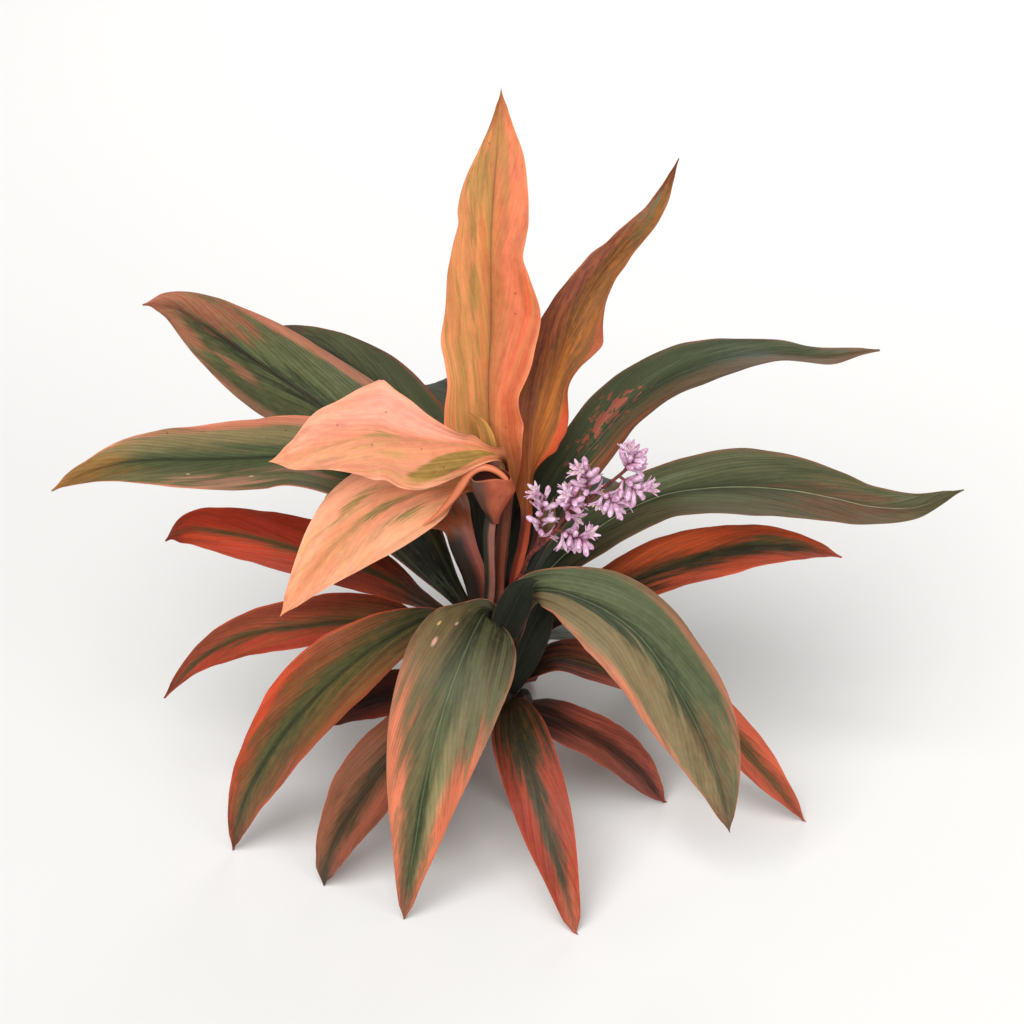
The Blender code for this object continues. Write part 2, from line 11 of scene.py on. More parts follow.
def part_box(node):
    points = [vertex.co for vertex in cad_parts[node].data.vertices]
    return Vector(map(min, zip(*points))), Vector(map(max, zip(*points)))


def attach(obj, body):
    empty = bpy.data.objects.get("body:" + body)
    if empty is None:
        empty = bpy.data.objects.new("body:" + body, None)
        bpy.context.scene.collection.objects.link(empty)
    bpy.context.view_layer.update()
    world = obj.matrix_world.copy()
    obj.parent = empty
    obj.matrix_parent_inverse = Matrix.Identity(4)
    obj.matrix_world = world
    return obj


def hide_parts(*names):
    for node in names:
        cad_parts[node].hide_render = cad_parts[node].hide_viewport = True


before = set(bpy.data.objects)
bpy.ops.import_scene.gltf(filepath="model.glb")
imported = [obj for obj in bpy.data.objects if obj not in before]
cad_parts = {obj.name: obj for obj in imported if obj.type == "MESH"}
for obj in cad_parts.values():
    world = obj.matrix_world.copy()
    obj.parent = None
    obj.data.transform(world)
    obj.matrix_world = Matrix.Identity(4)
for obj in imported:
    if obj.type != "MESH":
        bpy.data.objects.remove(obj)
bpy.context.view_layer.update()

mm = 0.001

# the cane and the eye that looks at the plant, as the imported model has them
plant = dict(
    caneHeight=196 * mm, caneLean=-26 * mm, footRadius=10.5 * mm, topRadius=7 * mm, crownHeight=190 * mm,
    eyeDistance=2.2, eyeRise=math.radians(30), centreAcross=12.8 * mm, centreUp=84.8 * mm,
    viewWidth=0.8192)  # how much of the crown's plane the picture takes in

right = Vector((1, 0, 0))
upward = Vector((0, math.sin(plant["eyeRise"]), math.cos(plant["eyeRise"])))
toward = Vector((0, -math.cos(plant["eyeRise"]), math.sin(plant["eyeRise"])))
sky = Vector((0, 0, 1))
crown = Vector((plant["caneLean"], 0, plant["crownHeight"]))
eye = crown + plant["centreAcross"] * right + plant["centreUp"] * upward + plant["eyeDistance"] * toward

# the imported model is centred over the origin, so the cane's foot tells where the drawing's zero lies
caneLow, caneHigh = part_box("cane")
shift = Vector((caneHigh[0] - plant["footRadius"], (caneLow[1] + caneHigh[1]) / 2, 0))


# small tools

def tone(code):  # "#RRGGBB" as seen on screen, turned into the linear colour that the shaders use
    parts = [int(code[i:i + 2], 16) / 255 for i in (1, 3, 5)]
    return (*[p / 12.92 if p <= 0.04045 else ((p + 0.055) / 1.055) ** 2.4 for p in parts], 1)


# a point by where it is seen from the crown (mm) and how far behind the cane it lies
def seen(across, up, back):
    sight = crown + across * mm * right + up * mm * upward - eye
    return eye + sight * ((back * mm - eye.y) / sight.y)


def caneCentre(height):
    return Vector((plant["caneLean"] * height / plant["crownHeight"], 0, height))


def caneRadius(height):
    return plant["footRadius"] + (plant["topRadius"] - plant["footRadius"]) * height / plant["caneHeight"]


def unit(rows):
    return rows / np.linalg.norm(rows, axis=1, keepdims=True)


def smoothstep(low, high, value):
    share = np.clip((value - low) / (high - low), 0, 1)
    return share * share * (3 - 2 * share)


def smoothRows(rows, steps):  # fills rows of numbers in with smooth rows between them
    rows = np.array(rows, dtype=float)
    before = np.vstack([rows[:1], rows[:-2]])
    after = np.vstack([rows[2:], rows[-1:]])
    start, end = rows[:-1], rows[1:]
    filled = []
    for step in range(steps):
        s = step / steps
        filled.append((2 * s ** 3 - 3 * s ** 2 + 1) * start + (s ** 3 - 2 * s ** 2 + s) * (end - before) / 2
                      + (3 * s ** 2 - 2 * s ** 3) * end + (s ** 3 - s ** 2) * (after - start) / 2)
    return np.vstack([np.stack(filled, axis=1).reshape(-1, rows.shape[1]), rows[-1:]])


def ringFaces(begin, levels, sides):  # the faces between the rings of a stack
    faces = []
    for level in range(levels - 1):
        for side in range(sides):
            low, after = begin + level * sides, (side + 1) % sides
            faces.append((low + side, low + after, low + sides + after, low + sides + side))
    return faces


def ringCaps(begin, levels, sides):  # the faces that close a stack of rings at its two ends
    top = begin + (levels - 1) * sides
    return [tuple(begin + side for side in range(sides))[::-1], tuple(top + side for side in range(sides))]


def newObject(name, data):
    made = bpy.data.objects.new(name, data)
    bpy.context.scene.collection.objects.link(made)
    return made


def newPiece(name, points, faces, materials, faceMaterials=None, facts=None):
    mesh = bpy.data.meshes.new(name)
    mesh.from_pydata(np.asarray(points).tolist(), [], [tuple(face) for face in faces])
    for material in materials:
        mesh.materials.append(material)
    if faceMaterials is not None:
        mesh.polygons.foreach_set("material_index", np.asarray(faceMaterials, dtype=np.int32))
    for label, values in (facts or {}).items():
        kept = mesh.attributes.new(label, "FLOAT_VECTOR", "POINT")
        kept.data.foreach_set("vector", np.asarray(values, dtype=np.float32).ravel())
    mesh.transform(Matrix.Translation(shift))
    mesh.shade_smooth()
    mesh.set_sharp_from_angle(angle=math.radians(62))
    mesh.update()
    piece = newObject(name, mesh)
    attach(piece, "root")
    return piece


# shader tools

def place(tree, kind, values=None, **settings):  # a node, with its sockets set or linked
    node = tree.nodes.new(kind)
    for name, value in settings.items():
        setattr(node, name, value)
    for socket, value in (values or {}).items():
        if isinstance(value, bpy.types.NodeSocket):
            tree.links.new(value, node.inputs[socket])
        else:
            node.inputs[socket].default_value = value
    return node


def calc(tree, operation, first, second=0.0, third=0.0, clamp=False):
    values = {0: first, 1: second, 2: third}
    return place(tree, "ShaderNodeMath", values, operation=operation, use_clamp=clamp).outputs[0]


def ramp(tree, value, fromLow, fromHigh, toLow=0.0, toHigh=1.0):
    values = {"Value": value, "From Min": fromLow, "From Max": fromHigh, "To Min": toLow, "To Max": toHigh}
    return place(tree, "ShaderNodeMapRange", values, interpolation_type="SMOOTHSTEP").outputs["Result"]


def blend(tree, share, under, over, how="MIX"):
    under = tone(under) if isinstance(under, str) else under
    over = tone(over) if isinstance(over, str) else over
    node = place(tree, "ShaderNodeMix", {0: share, 6: under, 7: over}, data_type="RGBA", blend_type=how)
    return node.outputs[2]


def noise(tree, vector, scale, detail, roughness=0.5):
    values = {"Vector": vector, "Scale": scale, "Detail": detail, "Roughness": roughness}
    return place(tree, "ShaderNodeTexNoise", values).outputs["Fac"]


def attributeParts(tree, name):
    vector = place(tree, "ShaderNodeAttribute", attribute_name=name).outputs["Vector"]
    return place(tree, "ShaderNodeSeparateXYZ", {0: vector}).outputs


def coat(tree, shader, colour, rough, height, strength, distance):
    tree.links.new(colour, shader.inputs["Base Color"])
    tree.links.new(rough, shader.inputs["Roughness"])
    bump = place(tree, "ShaderNodeBump", {"Strength": strength, "Distance": distance, "Height": height})
    tree.links.new(bump.outputs["Normal"], shader.inputs["Normal"])


def letLightIn(shader, weight, radius, scale):
    shader.inputs["Subsurface Weight"].default_value = weight
    shader.inputs["Subsurface Radius"].default_value = radius
    shader.inputs["Subsurface Scale"].default_value = scale


def newGroup(name, takes, gives):
    tree = bpy.data.node_groups.new(name, "ShaderNodeTree")
    for label, value in takes.items():
        tree.interface.new_socket(label, in_out="INPUT", socket_type="NodeSocketFloat").default_value = value
    for label in gives:
        tree.interface.new_socket(label, in_out="OUTPUT", socket_type="NodeSocketFloat")
    return tree, tree.nodes.new("NodeGroupInput").outputs, tree.nodes.new("NodeGroupOutput").inputs


def fill(tree, group, values):
    return place(tree, "ShaderNodeGroup", values, node_tree=group).outputs


def newMaterial(name):
    material = bpy.data.materials.new(name)
    material.use_nodes = True
    return material, material.node_tree, material.node_tree.nodes["Principled BSDF"]


# effects that several materials share

def makeLeafPlaces():  # where a point of a leaf lies
    tree, _, gives = newGroup(
        "leafPlaces", {}, ("Across", "Side", "Along", "Under", "Run", "AcrossCm", "AlongCm"))
    space, flat = attributeParts(tree, "leafSpace"), attributeParts(tree, "veinSpace")
    for label, part in (("Across", space[0]), ("Along", space[1]), ("Under", space[2]),
                        ("Run", flat[0]), ("AcrossCm", flat[1]), ("AlongCm", flat[2])):
        tree.links.new(part, gives[label])
    tree.links.new(calc(tree, "ABSOLUTE", space[0]), gives["Side"])
    return tree


def makeStreakField():  # broad streaks, fine streaks and clouds along the veins, and an even mottle
    tree, takes, gives = newGroup(
        "streakField", {"Run": 0.0, "Across": 0.0, "AcrossCm": 0.0, "AlongCm": 0.0, "Seed": 0.0},
        ("Broad", "Fine", "Cloud", "Mottle"))
    for label, first, firstScale, second, secondScale, detail, offset in (
            ("Broad", "Run", 0.26, "Across", 3.6, 3.0, 0.0), ("Fine", "Run", 1.7, "Across", 7.0, 3.0, 9.0),
            ("Cloud", "Run", 0.12, "Across", 1.8, 2.0, 21.0),
            ("Mottle", "AlongCm", 1.3, "AcrossCm", 2.2, 6.0, 33.0)):
        vector = place(tree, "ShaderNodeCombineXYZ",
                       {0: calc(tree, "MULTIPLY", takes[first], firstScale),
                        1: calc(tree, "MULTIPLY", takes[second], secondScale),
                        2: calc(tree, "ADD", takes["Seed"], offset)}).outputs[0]
        tree.links.new(ramp(tree, noise(tree, vector, 1.0, detail, 0.6), 0.28, 0.72), gives[label])
    return tree


def raggedValue(tree, takes, value):  # a value pushed up and down by the field
    return calc(tree, "MULTIPLY_ADD", calc(tree, "SUBTRACT", takes["Field"], 0.5), takes["Ragged"], value)


def makeStepMask():  # a soft step with a ragged edge
    tree, takes, gives = newGroup(
        "stepMask", {"Value": 0.0, "From": 0.0, "To": 1.0, "Field": 0.5, "Ragged": 0.0}, ("Mask",))
    bent = raggedValue(tree, takes, takes["Value"])
    tree.links.new(ramp(tree, bent, takes["From"], takes["To"]), gives["Mask"])
    return tree


def makePatchMask():  # an oval patch with a ragged edge, that may lean as it runs
    tree, takes, gives = newGroup(
        "patchMask", {"Across": 0.0, "Along": 0.0, "Field": 0.5, "CentreAcross": 0.0, "CentreAlong": 0.5,
                      "HalfAcross": 0.3, "HalfAlong": 0.2, "Slant": 0.0, "Ragged": 0.9, "Inner": 0.45},
        ("Mask",))
    further = calc(tree, "SUBTRACT", takes["Along"], takes["CentreAlong"])
    middle = calc(tree, "MULTIPLY_ADD", further, takes["Slant"], takes["CentreAcross"])
    sideways = calc(tree, "DIVIDE", calc(tree, "SUBTRACT", takes["Across"], middle), takes["HalfAcross"])
    lengthways = calc(tree, "DIVIDE", further, takes["HalfAlong"])
    squares = [calc(tree, "MULTIPLY", way, way) for way in (sideways, lengthways)]
    distance = calc(tree, "SQRT", calc(tree, "ADD", *squares))
    ragged = raggedValue(tree, takes, distance)
    tree.links.new(ramp(tree, ragged, 1.1, takes["Inner"]), gives["Mask"])
    return tree


def makeVeinRelief():  # the fine parallel veins, as a line mask and a height
    tree, takes, gives = newGroup(
        "veinRelief", {"Run": 0.0, "Field": 0.5, "Spacing": 0.5}, ("Line", "Height"))
    turns = calc(tree, "MULTIPLY", calc(tree, "DIVIDE", takes["Run"], takes["Spacing"]), 2 * math.pi)
    phase = calc(tree, "MULTIPLY_ADD", takes["Field"], 2.5, turns)
    swell = calc(tree, "MULTIPLY_ADD", calc(tree, "SINE", phase), 0.5, 0.5)
    tree.links.new(swell, gives["Height"])
    tree.links.new(ramp(tree, swell, 0.62, 1.0), gives["Line"])
    return tree


def makeSpecks():  # scattered specks, about a millimetre wide
    tree, takes, gives = newGroup(
        "specks", {"AcrossCm": 0.0, "AlongCm": 0.0, "Seed": 0.0, "Chance": 0.1, "Size": 0.2}, ("Mask",))
    vector = place(tree, "ShaderNodeCombineXYZ",
                   {0: takes["AcrossCm"], 1: takes["AlongCm"], 2: takes["Seed"]}).outputs[0]
    cells = place(tree, "ShaderNodeTexVoronoi", {"Vector": vector, "Scale": 1.6, "Randomness": 1.0})
    spot = ramp(tree, cells.outputs["Distance"], takes["Size"], calc(tree, "MULTIPLY", takes["Size"], 0.5))
    number = place(tree, "ShaderNodeSeparateColor", {0: cells.outputs["Color"]}).outputs[0]
    lucky = calc(tree, "LESS_THAN", number, takes["Chance"])
    tree.links.new(calc(tree, "MULTIPLY", spot, lucky), gives["Mask"])
    return tree


leafPlaces = makeLeafPlaces()
streakField = makeStreakField()
stepMask = makeStepMask()
patchMask = makePatchMask()
veinRelief = makeVeinRelief()
specks = makeSpecks()
print("shared effects ready")


# Leaves. A path point is: across, up, back, width (mm) and roll (degrees). An edge point is: the share of the
# blade, and how far the left and the right margin are pushed out (mm). Left and right are as seen when
# walking from the stalk to the tip.

# a patch of another colour: its middle and half size are shares of the blade's half width and of its length
def patch(across, along, halfAcross, halfAlong, colour, amount,
          ragged=0.6, kind="Broad", slant=0.0, inner=0.3):
    form = {"CentreAcross": across, "CentreAlong": along, "HalfAcross": halfAcross, "HalfAlong": halfAlong,
            "Slant": slant, "Ragged": ragged, "Inner": inner}
    return dict(form=form, colour=colour, amount=amount, kind=kind)


# what a leaf has where its own dictionary says nothing else
leafCommon = dict(
    fold=0.12, foot=7, facing="viewer", rests=False, edges=((0, 0, 0), (1, 0, 0)), ruffle=0.45,
    patches=(), streaks=(0.5, 0.35), tipFrom=0.84, baseTo=0.32, baseShadeTo=0.4, marginFrom=0.9,
    groove=0.45, ribLine=0.5, veins=0.16, rough=0.4, specks=0.04, speck="#5A2E22")

# what the leaves at the back of the plant share
backLeaf = dict(
    slot="dark_leaf", facing="sky", streaks=(0.5, 0.5), stalk="#2E261C", channel="#181410", rough=0.5)

leafUpright = dict(
    node="leaf_upright", slot="salmon_leaf", seat=(190, 75), fold=0.1, wave=(3.2, 4.5, 0.0),
    centre="#C0703E", left="#DC8A55", right="#DD7450", band=(0.05, 0.4), margin="#E58560", tip="#B5683E",
    base="#C07040", streak="#A07A3E", streaks=(0.85, 0.35), midrib="#7E4E28", stalk="#B07464",
    channel="#6A3A22", under="#DB9673", groove=0.3, ribLine=0.85, veins=0.08, baseShadeTo=0.2, ruffle=1.0,
    path=((5, 30, 10, 8.5, 0), (9, 70, 14, 8.5, 0), (11, 98, 20, 10, 0), (8, 116, 26, 30, 0),
          (-4, 148, 34, 62, 0), (-6, 190, 44, 72, 0), (-4, 230, 54, 74, 0), (-4, 268, 64, 66, 0),
          (-4, 302, 74, 57, 0), (-2, 340, 86, 48, 0), (1, 376, 100, 32, 0), (4, 425, 120, 1.5, 0)),
    edges=((-0.4, 0, 0), (-0.3, -1.6, -1.6), (-0.05, -1.8, -1.8), (0, -2, -2.5), (0.04, -2, -4.5),
           (0.08, -1, -4), (0.12, 0, -5), (0.17, 3, -6), (0.205, 1, -9.5), (0.235, -1, -11.5),
           (0.26, -3, -11), (0.29, -4, -7), (0.33, -2, -4), (0.38, 1.6, -2), (0.46, 0, 2.4),
           (0.55, 1.6, -3), (0.59, 1, -5.5), (0.63, 0, -2), (0.67, -1.6, 1.2), (0.7, 0.6, 2),
           (0.76, 0.5, 3), (0.84, -2.5, 3.6), (0.9, -4, 1), (0.95, -3, 0), (1, 0, 0)),
    patches=(patch(-0.45, 0.78, 0.22, 0.1, "#94763A", 0.8), patch(-0.38, 0.51, 0.14, 0.08, "#9C7A3E", 0.75),
             patch(-0.6, 0.3, 0.18, 0.13, "#A0783A", 0.7), patch(0.35, 0.78, 0.14, 0.12, "#AC7C42", 0.6),
             patch(0.8, 0.5, 0.2, 0.08, "#C8562C", 0.7), patch(-0.25, 0.1, 0.5, 0.16, "#8C7434", 0.75),
             patch(0.75, 0.25, 0.35, 0.24, "#D9603C", 0.6), patch(0.15, 0.88, 0.4, 0.1, "#A8803F", 0.5),
             patch(0.98, 0.1, 0.1, 0.2, "#D4604A", 0.9, ragged=0.2)))

leafYoung = dict(
    node="leaf_young", slot="salmon_leaf", seat=(195, 122), fold=0.95, wave=(0, 0, 0), foot=2,
    centre="#C98A48", left="#C07A40", right="#D09650", band=(0.1, 0.5), margin="#B5502C", tip="#B5502C",
    base="#A0622F", streak="#8A7434", streaks=(0.5, 0.5), midrib="#8A7434", stalk="#B07464",
    channel="#5C3024", under="#B87040",
    path=((-4, 30, 8, 6.5, 0), (-4, 75, 10, 7, 0), (-3, 115, 15, 11, 0), (-6, 140, 18, 12, 0),
          (-12, 156, 22, 8, 0), (-22, 165, 24, 1.5, 0)))

leafTwisted = dict(
    node="leaf_twisted", slot="olive_leaf", seat=(188, 12), fold=0.16, wave=(2.5, 4.0, 1.0),
    centre="#6E4C2A", left="#74432F", right="#8A5E38", band=(0.08, 0.5), margin="#A85A42", tip="#5E2E26",
    base="#B8622F", streak="#B0692F", streaks=(0.35, 0.7), midrib="#A5743C", stalk="#D8603E",
    channel="#7A2C1C", under="#96603C", groove=0.3, baseShadeTo=0.2, ruffle=1.0,
    path=((15, 30, 7, 8.5, 10), (22, 60, 14, 8.5, 15), (25, 84, 22, 10, 20), (26, 106, 32, 24, 25),
          (31, 140, 50, 44, 25), (40, 174, 64, 52, 25), (50.8, 206, 74, 54, 30), (62.4, 240, 82, 54, 35),
          (79, 270, 94, 42, 45), (100.4, 297, 108, 30, 50), (126.0, 325, 122, 17, 45),
          (146, 368, 140, 1.5, 30)),
    edges=((-0.02, 0, 0), (0.05, 0, -5), (0.083, 0, -7), (0.127, 0, -3), (0.15, 0, 1.5), (0.18, 0, 1.5),
           (0.22, 0, 2), (0.29, 0, -4), (0.34, 0, -8), (0.395, 0, -5), (0.44, 0, 1), (0.485, 0, 5),
           (0.55, 0, 3), (0.63, 0, 3), (0.69, 0, 3), (0.735, 0, 4), (0.784, 0, 3), (0.835, -1, 2),
           (0.893, -2, 2), (0.935, -3, 1), (1, 0, 0)),
    patches=(patch(0.0, 0.84, 0.9, 0.11, "#66704C", 0.75), patch(-0.6, 0.55, 0.4, 0.2, "#7E4438", 0.6),
             patch(0.1, 0.28, 0.4, 0.2, "#BE722E", 0.65),
             patch(1.0, 0.16, 0.42, 0.24, "#DC5236", 1.0, ragged=0.3, inner=0.6),
             patch(0.9, 0.48, 0.14, 0.08, "#C9604A", 0.7)))

leafBentAcross = dict(
    node="leaf_bent_across", slot="salmon_leaf", seat=(194, -76), fold=0.06, wave=(1.0, 2.0, 0.5),
    centre="#E38A68", left="#E69170", right="#EC9A7C", band=(0.1, 0.5), margin="#EFA080", tip="#E8936E",
    base="#D07A50", streak="#B58E50", streaks=(0.5, 0.12), midrib="#B98E54", stalk="#944F38",
    channel="#5A2C1C", under="#E9A27C", groove=0.12, veins=0.05, baseShadeTo=0.08, ruffle=0.8,
    path=((2, 30, 1, 8.5, 0), (5, 70, 3, 8.5, 0), (9, 106, 3, 8.5, 0), (4, 129, -4, 12, 0),
          (-26, 138, -14, 36, 0), (-62, 142, -20, 58, 0), (-97, 145, -24, 74, 0), (-129, 140, -27, 56, 0),
          (-158, 131, -29, 25, 0), (-182, 125, -30, 1.5, 0)),
    edges=((-0.3, 0, 0), (-0.12, -2.6, -2.6), (-0.03, -3.6, -3.4), (0, -3, 0), (0.045, -1, -6),
           (0.1, 2, -8), (0.14, 6, -7), (0.22, 9, -12), (0.33, 10, -8), (0.41, 6, -3), (0.48, -2, 1),
           (0.52, -4, 7), (0.56, -4, 3), (0.65, -6, -1), (0.76, -5, 2), (0.9, 1, 0), (1, 0, 0)),
    patches=(patch(-0.48, 0.2, 0.27, 0.2, "#8C6E2C", 0.95, slant=-1.5, ragged=0.2, inner=0.85),
             patch(0.55, 0.42, 0.5, 0.3, "#F09A88", 0.65),
             patch(0.04, 0.52, 0.06, 0.08, "#A0864A", 0.85, ragged=1.0, kind="Fine"),
             patch(-0.36, 0.46, 0.09, 0.07, "#B0904C", 0.75, ragged=1.0, kind="Fine"),
             patch(-0.3, 0.6, 0.4, 0.25, "#DE9A66", 0.45)))

leafBentDown = dict(
    node="leaf_bent_down", slot="salmon_leaf", seat=(185, -135), fold=0.08, wave=(1.0, 2.0, 2.0),
    centre="#EA9068", left="#EE9974", right="#F09E7A", band=(0.1, 0.5), margin="#F2A688", tip="#EC9068",
    base="#C8743F", streak="#A98F50", streaks=(0.35, 0.5), midrib="#B8864E", stalk="#A86C5E",
    channel="#343222", under="#E09870", groove=0.15, veins=0.05, baseShadeTo=0.15,
    path=((-5, 26, -9, 8.5, 0), (-6, 64, -10, 8.5, 0), (-4, 90, -9, 12, 0), (-18, 103, 2, 28, 0),
          (-45, 104, 6, 50, 0), (-75, 96, -1, 66, 0), (-104, 80, -9, 68, 0), (-128, 58, -16, 54, 0),
          (-150, 32, -22, 30, 0), (-173, 1, -32, 1.5, 0)),
    edges=((0, 0, 0), (0.04, -6, 0), (0.08, -11, 0), (0.14, -10, 0), (0.2, -2, 0), (0.26, 0, 0)),
    patches=(patch(0.1, 0.05, 1.1, 0.14, "#C8743F", 0.75),
             patch(0.0, 0.45, 0.1, 0.12, "#76692F", 0.95, ragged=1.0, kind="Fine"),
             patch(0.45, 0.5, 0.1, 0.1, "#94803F", 0.85, ragged=1.0, kind="Fine"),
             patch(-0.4, 0.36, 0.12, 0.1, "#7E7238", 0.9, ragged=1.0, kind="Fine")))

leafUpperLeft = dict(
    node="leaf_upper_left", slot="green_leaf", seat=(189, 158), wave=(2.0, 2.5, 0.0), centre="#303A25",
    left="#4A4F32", right="#505636", band=(0.04, 0.3), margin="#B06A55", tip="#A85A45", base="#A8502F",
    streak="#667048", streaks=(0.35, 0.35), midrib="#23241A", stalk="#A85A4C", channel="#2C2018",
    under="#6C7450", groove=0.7, baseShadeTo=0.06,
    path=((-10, 26, 2, 8.5, 0), (-21, 56, 8, 9, 0), (-31, 80, 22, 14, -10), (-45, 101, 50, 34, -20),
          (-77, 129, 77, 68, -30), (-109, 150, 100, 82, -30), (-142, 172, 116, 84, -30),
          (-175, 194, 128, 84, -30), (-204, 214, 137, 74, -30), (-234, 235, 145, 54, -30),
          (-260, 250, 150, 28, -32), (-283, 251, 154, 1.5, -35)),
    edges=((-0.3, 0, 0), (-0.24, 3, 0), (-0.18, 10, 0), (-0.12, 11, 1), (-0.05, 10, 2), (0, 8, 4),
           (0.034, 14, 5), (0.07, 20, 4), (0.11, 14, 2), (0.16, 3, 0), (0.2, 0, 0)),
    patches=(patch(0.0, 0.05, 1.6, 0.15, "#A24C2C", 0.95),
             patch(0.9, 0.55, 0.12, 0.36, "#BC7058", 0.8, ragged=0.4),
             patch(0.5, 0.85, 0.6, 0.18, "#A86048", 0.75),
             patch(-0.4, 0.72, 0.14, 0.08, "#A86A54", 0.6, ragged=0.9),
             patch(-0.7, 0.86, 0.35, 0.1, "#AE6850", 0.7),
             patch(-0.9, 0.5, 0.14, 0.35, "#9C6450", 0.7, ragged=0.4)))

leafUpperLeftBehind = dict(
    node="leaf_upper_left_behind", slot="dark_leaf", seat=(181, 112), wave=(1.5, 2.0, 0.7),
    centre="#303A22", left="#46482C", right="#444A2C", band=(0.05, 0.4), margin="#7C3A2C", tip="#5A3226",
    base="#1A1812", streak="#33381F", streaks=(0.5, 0.5), midrib="#3A3E28", stalk="#3A2A20",
    channel="#1A1410", under="#4C5236", rough=0.5,
    path=((-8, 30, 18, 8.5, 0), (-12, 68, 42, 16, 0), (-18, 98, 66, 24, -5), (-44, 130, 100, 46, -20),
          (-70, 156, 126, 62, -25), (-96, 184, 153, 62, -25), (-126, 208, 175, 46, -25),
          (-158, 224, 188, 24, -25), (-186, 231, 196, 1.5, -25)),
    edges=((-0.2, 0, 0), (-0.1, 6, 6), (0, 8, 8), (0.08, 4, 4), (0.2, 0, 0)))

leafBackArching = dict(
    backLeaf, node="leaf_back_arching", seat=(173, 86), wave=(1.5, 2.0, 0.3), centre="#333A27",
    left="#444A30", right="#444A30", band=(0.05, 0.4), margin="#84402C", tip="#6A3426", base="#1C1C14",
    streak="#30382A", midrib="#5A5E3E", under="#4C5238",
    path=((4, 26, 30, 8.5, 0), (5, 78, 66, 12, 0), (2, 128, 106, 40, 0), (-12, 166, 150, 60, 0),
          (-35, 185, 194, 66, 0), (-56, 186, 236, 52, 0), (-68, 170, 274, 28, 0), (-76, 150, 304, 1.5, 0)),
    edges=((-0.25, 0, 0), (-0.15, 8, 8), (0, 10, 10), (0.1, 5, 5), (0.2, 0, 0)))

leafLeftLong = dict(
    node="leaf_left_long", slot="green_leaf", seat=(172, 170), wave=(2.0, 2.5, 1.0), centre="#4A5436",
    left="#706A48", right="#887852", band=(0.1, 0.65), margin="#DC8468", tip="#B4703C", base="#15120E",
    streak="#4A5636", midrib="#2E3324", stalk="#3A2A22", channel="#1A1410", under="#7A7450", groove=0.55,
    baseTo=0.4, baseShadeTo=0.3,
    path=((-22, 4, 14, 8.5, -30), (-45, 34, 24, 18, -20), (-73, 72, 26, 46, -15), (-109, 110, 29, 70, -25),
          (-157, 128, 36, 78, -38), (-200, 128, 43, 76, -40), (-237, 127, 44, 68, -40),
          (-268, 127, 44, 58, -40), (-300, 124, 44, 42, -40), (-330, 115, 43, 22, -40),
          (-356, 102, 42, 1.5, -40)),
    edges=((-0.08, 0, 1), (0, 2, 5), (0.06, 3, 10), (0.13, 2, 9), (0.2, 0, 3), (0.26, -4, 0), (0.33, -9, 0),
           (0.4, -6, 0), (0.5, 0, 0)),
    patches=(patch(0.92, 0.5, 0.18, 0.4, "#D27C60", 0.9, ragged=0.4),
             patch(-0.75, 0.62, 0.25, 0.13, "#B5806A", 0.8, ragged=0.8),
             patch(-0.35, 0.45, 0.12, 0.12, "#B07F68", 0.6, ragged=1.0, kind="Fine"),
             patch(0.1, 0.9, 1.1, 0.12, "#94682F", 0.7),
             patch(-0.5, 0.69, 0.03, 0.006, "#E2C0A6", 0.9, ragged=0.1),
             patch(-0.55, 0.55, 0.03, 0.008, "#E2C0A6", 0.9, ragged=0.1)))

leafLeftUpperRed = dict(
    node="leaf_left_upper_red", slot="red_leaf", seat=(160, 154), wave=(2.0, 2.0, 0.0), centre="#6A4A22",
    left="#B83E22", right="#A42F1B", band=(0.03, 0.25), margin="#B8442E", tip="#6A201A", base="#2C2619",
    streak="#7E3A20", streaks=(0.5, 0.4), midrib="#5A4420", stalk="#4A2A22", channel="#1E1410",
    under="#8E3C2C", baseShadeTo=0.3, baseTo=0.5,
    path=((-26, -6, 11, 8.5, -50), (-50, 8, 17, 16, -50), (-82, 28, 23, 40, -48), (-117, 44, 27, 60, -46),
          (-156, 54, 31, 64, -45), (-190, 63, 33, 60, -45), (-220, 69, 35, 50, -45),
          (-246, 71, 36, 36, -45), (-265, 62, 36, 1.5, -45)),
    patches=(patch(0.3, 0.42, 0.06, 0.012, "#DC9272", 0.9, ragged=0.3),
             patch(0.22, 0.36, 0.05, 0.01, "#DC9272", 0.8, ragged=0.3)))

leafLeftRed = dict(
    node="leaf_left_red", slot="red_leaf", seat=(150, 178), wave=(2.0, 2.0, 2.0), centre="#54482A",
    left="#A83C2A", right="#8A3E2A", band=(0.04, 0.35), margin="#C24C32", tip="#74201A", base="#2A1C12",
    streak="#7A4A26", midrib="#4A4424", stalk="#4A2A22", channel="#1E1410", under="#9A4630", baseShadeTo=0.3,
    path=((-28, -20, 1, 8.5, -55), (-56, -8, 4, 18, -55), (-88, -2, 10, 44, -52), (-122, -3, 13, 58, -48),
          (-154, -6, 14, 58, -46), (-184, -10, 14, 52, -45), (-212, -19, 14, 42, -45),
          (-240, -36, 14, 24, -45), (-266, -64, 14, 1.5, -45)),
    patches=(patch(0.3, 0.25, 0.5, 0.2, "#5A4424", 0.6),))

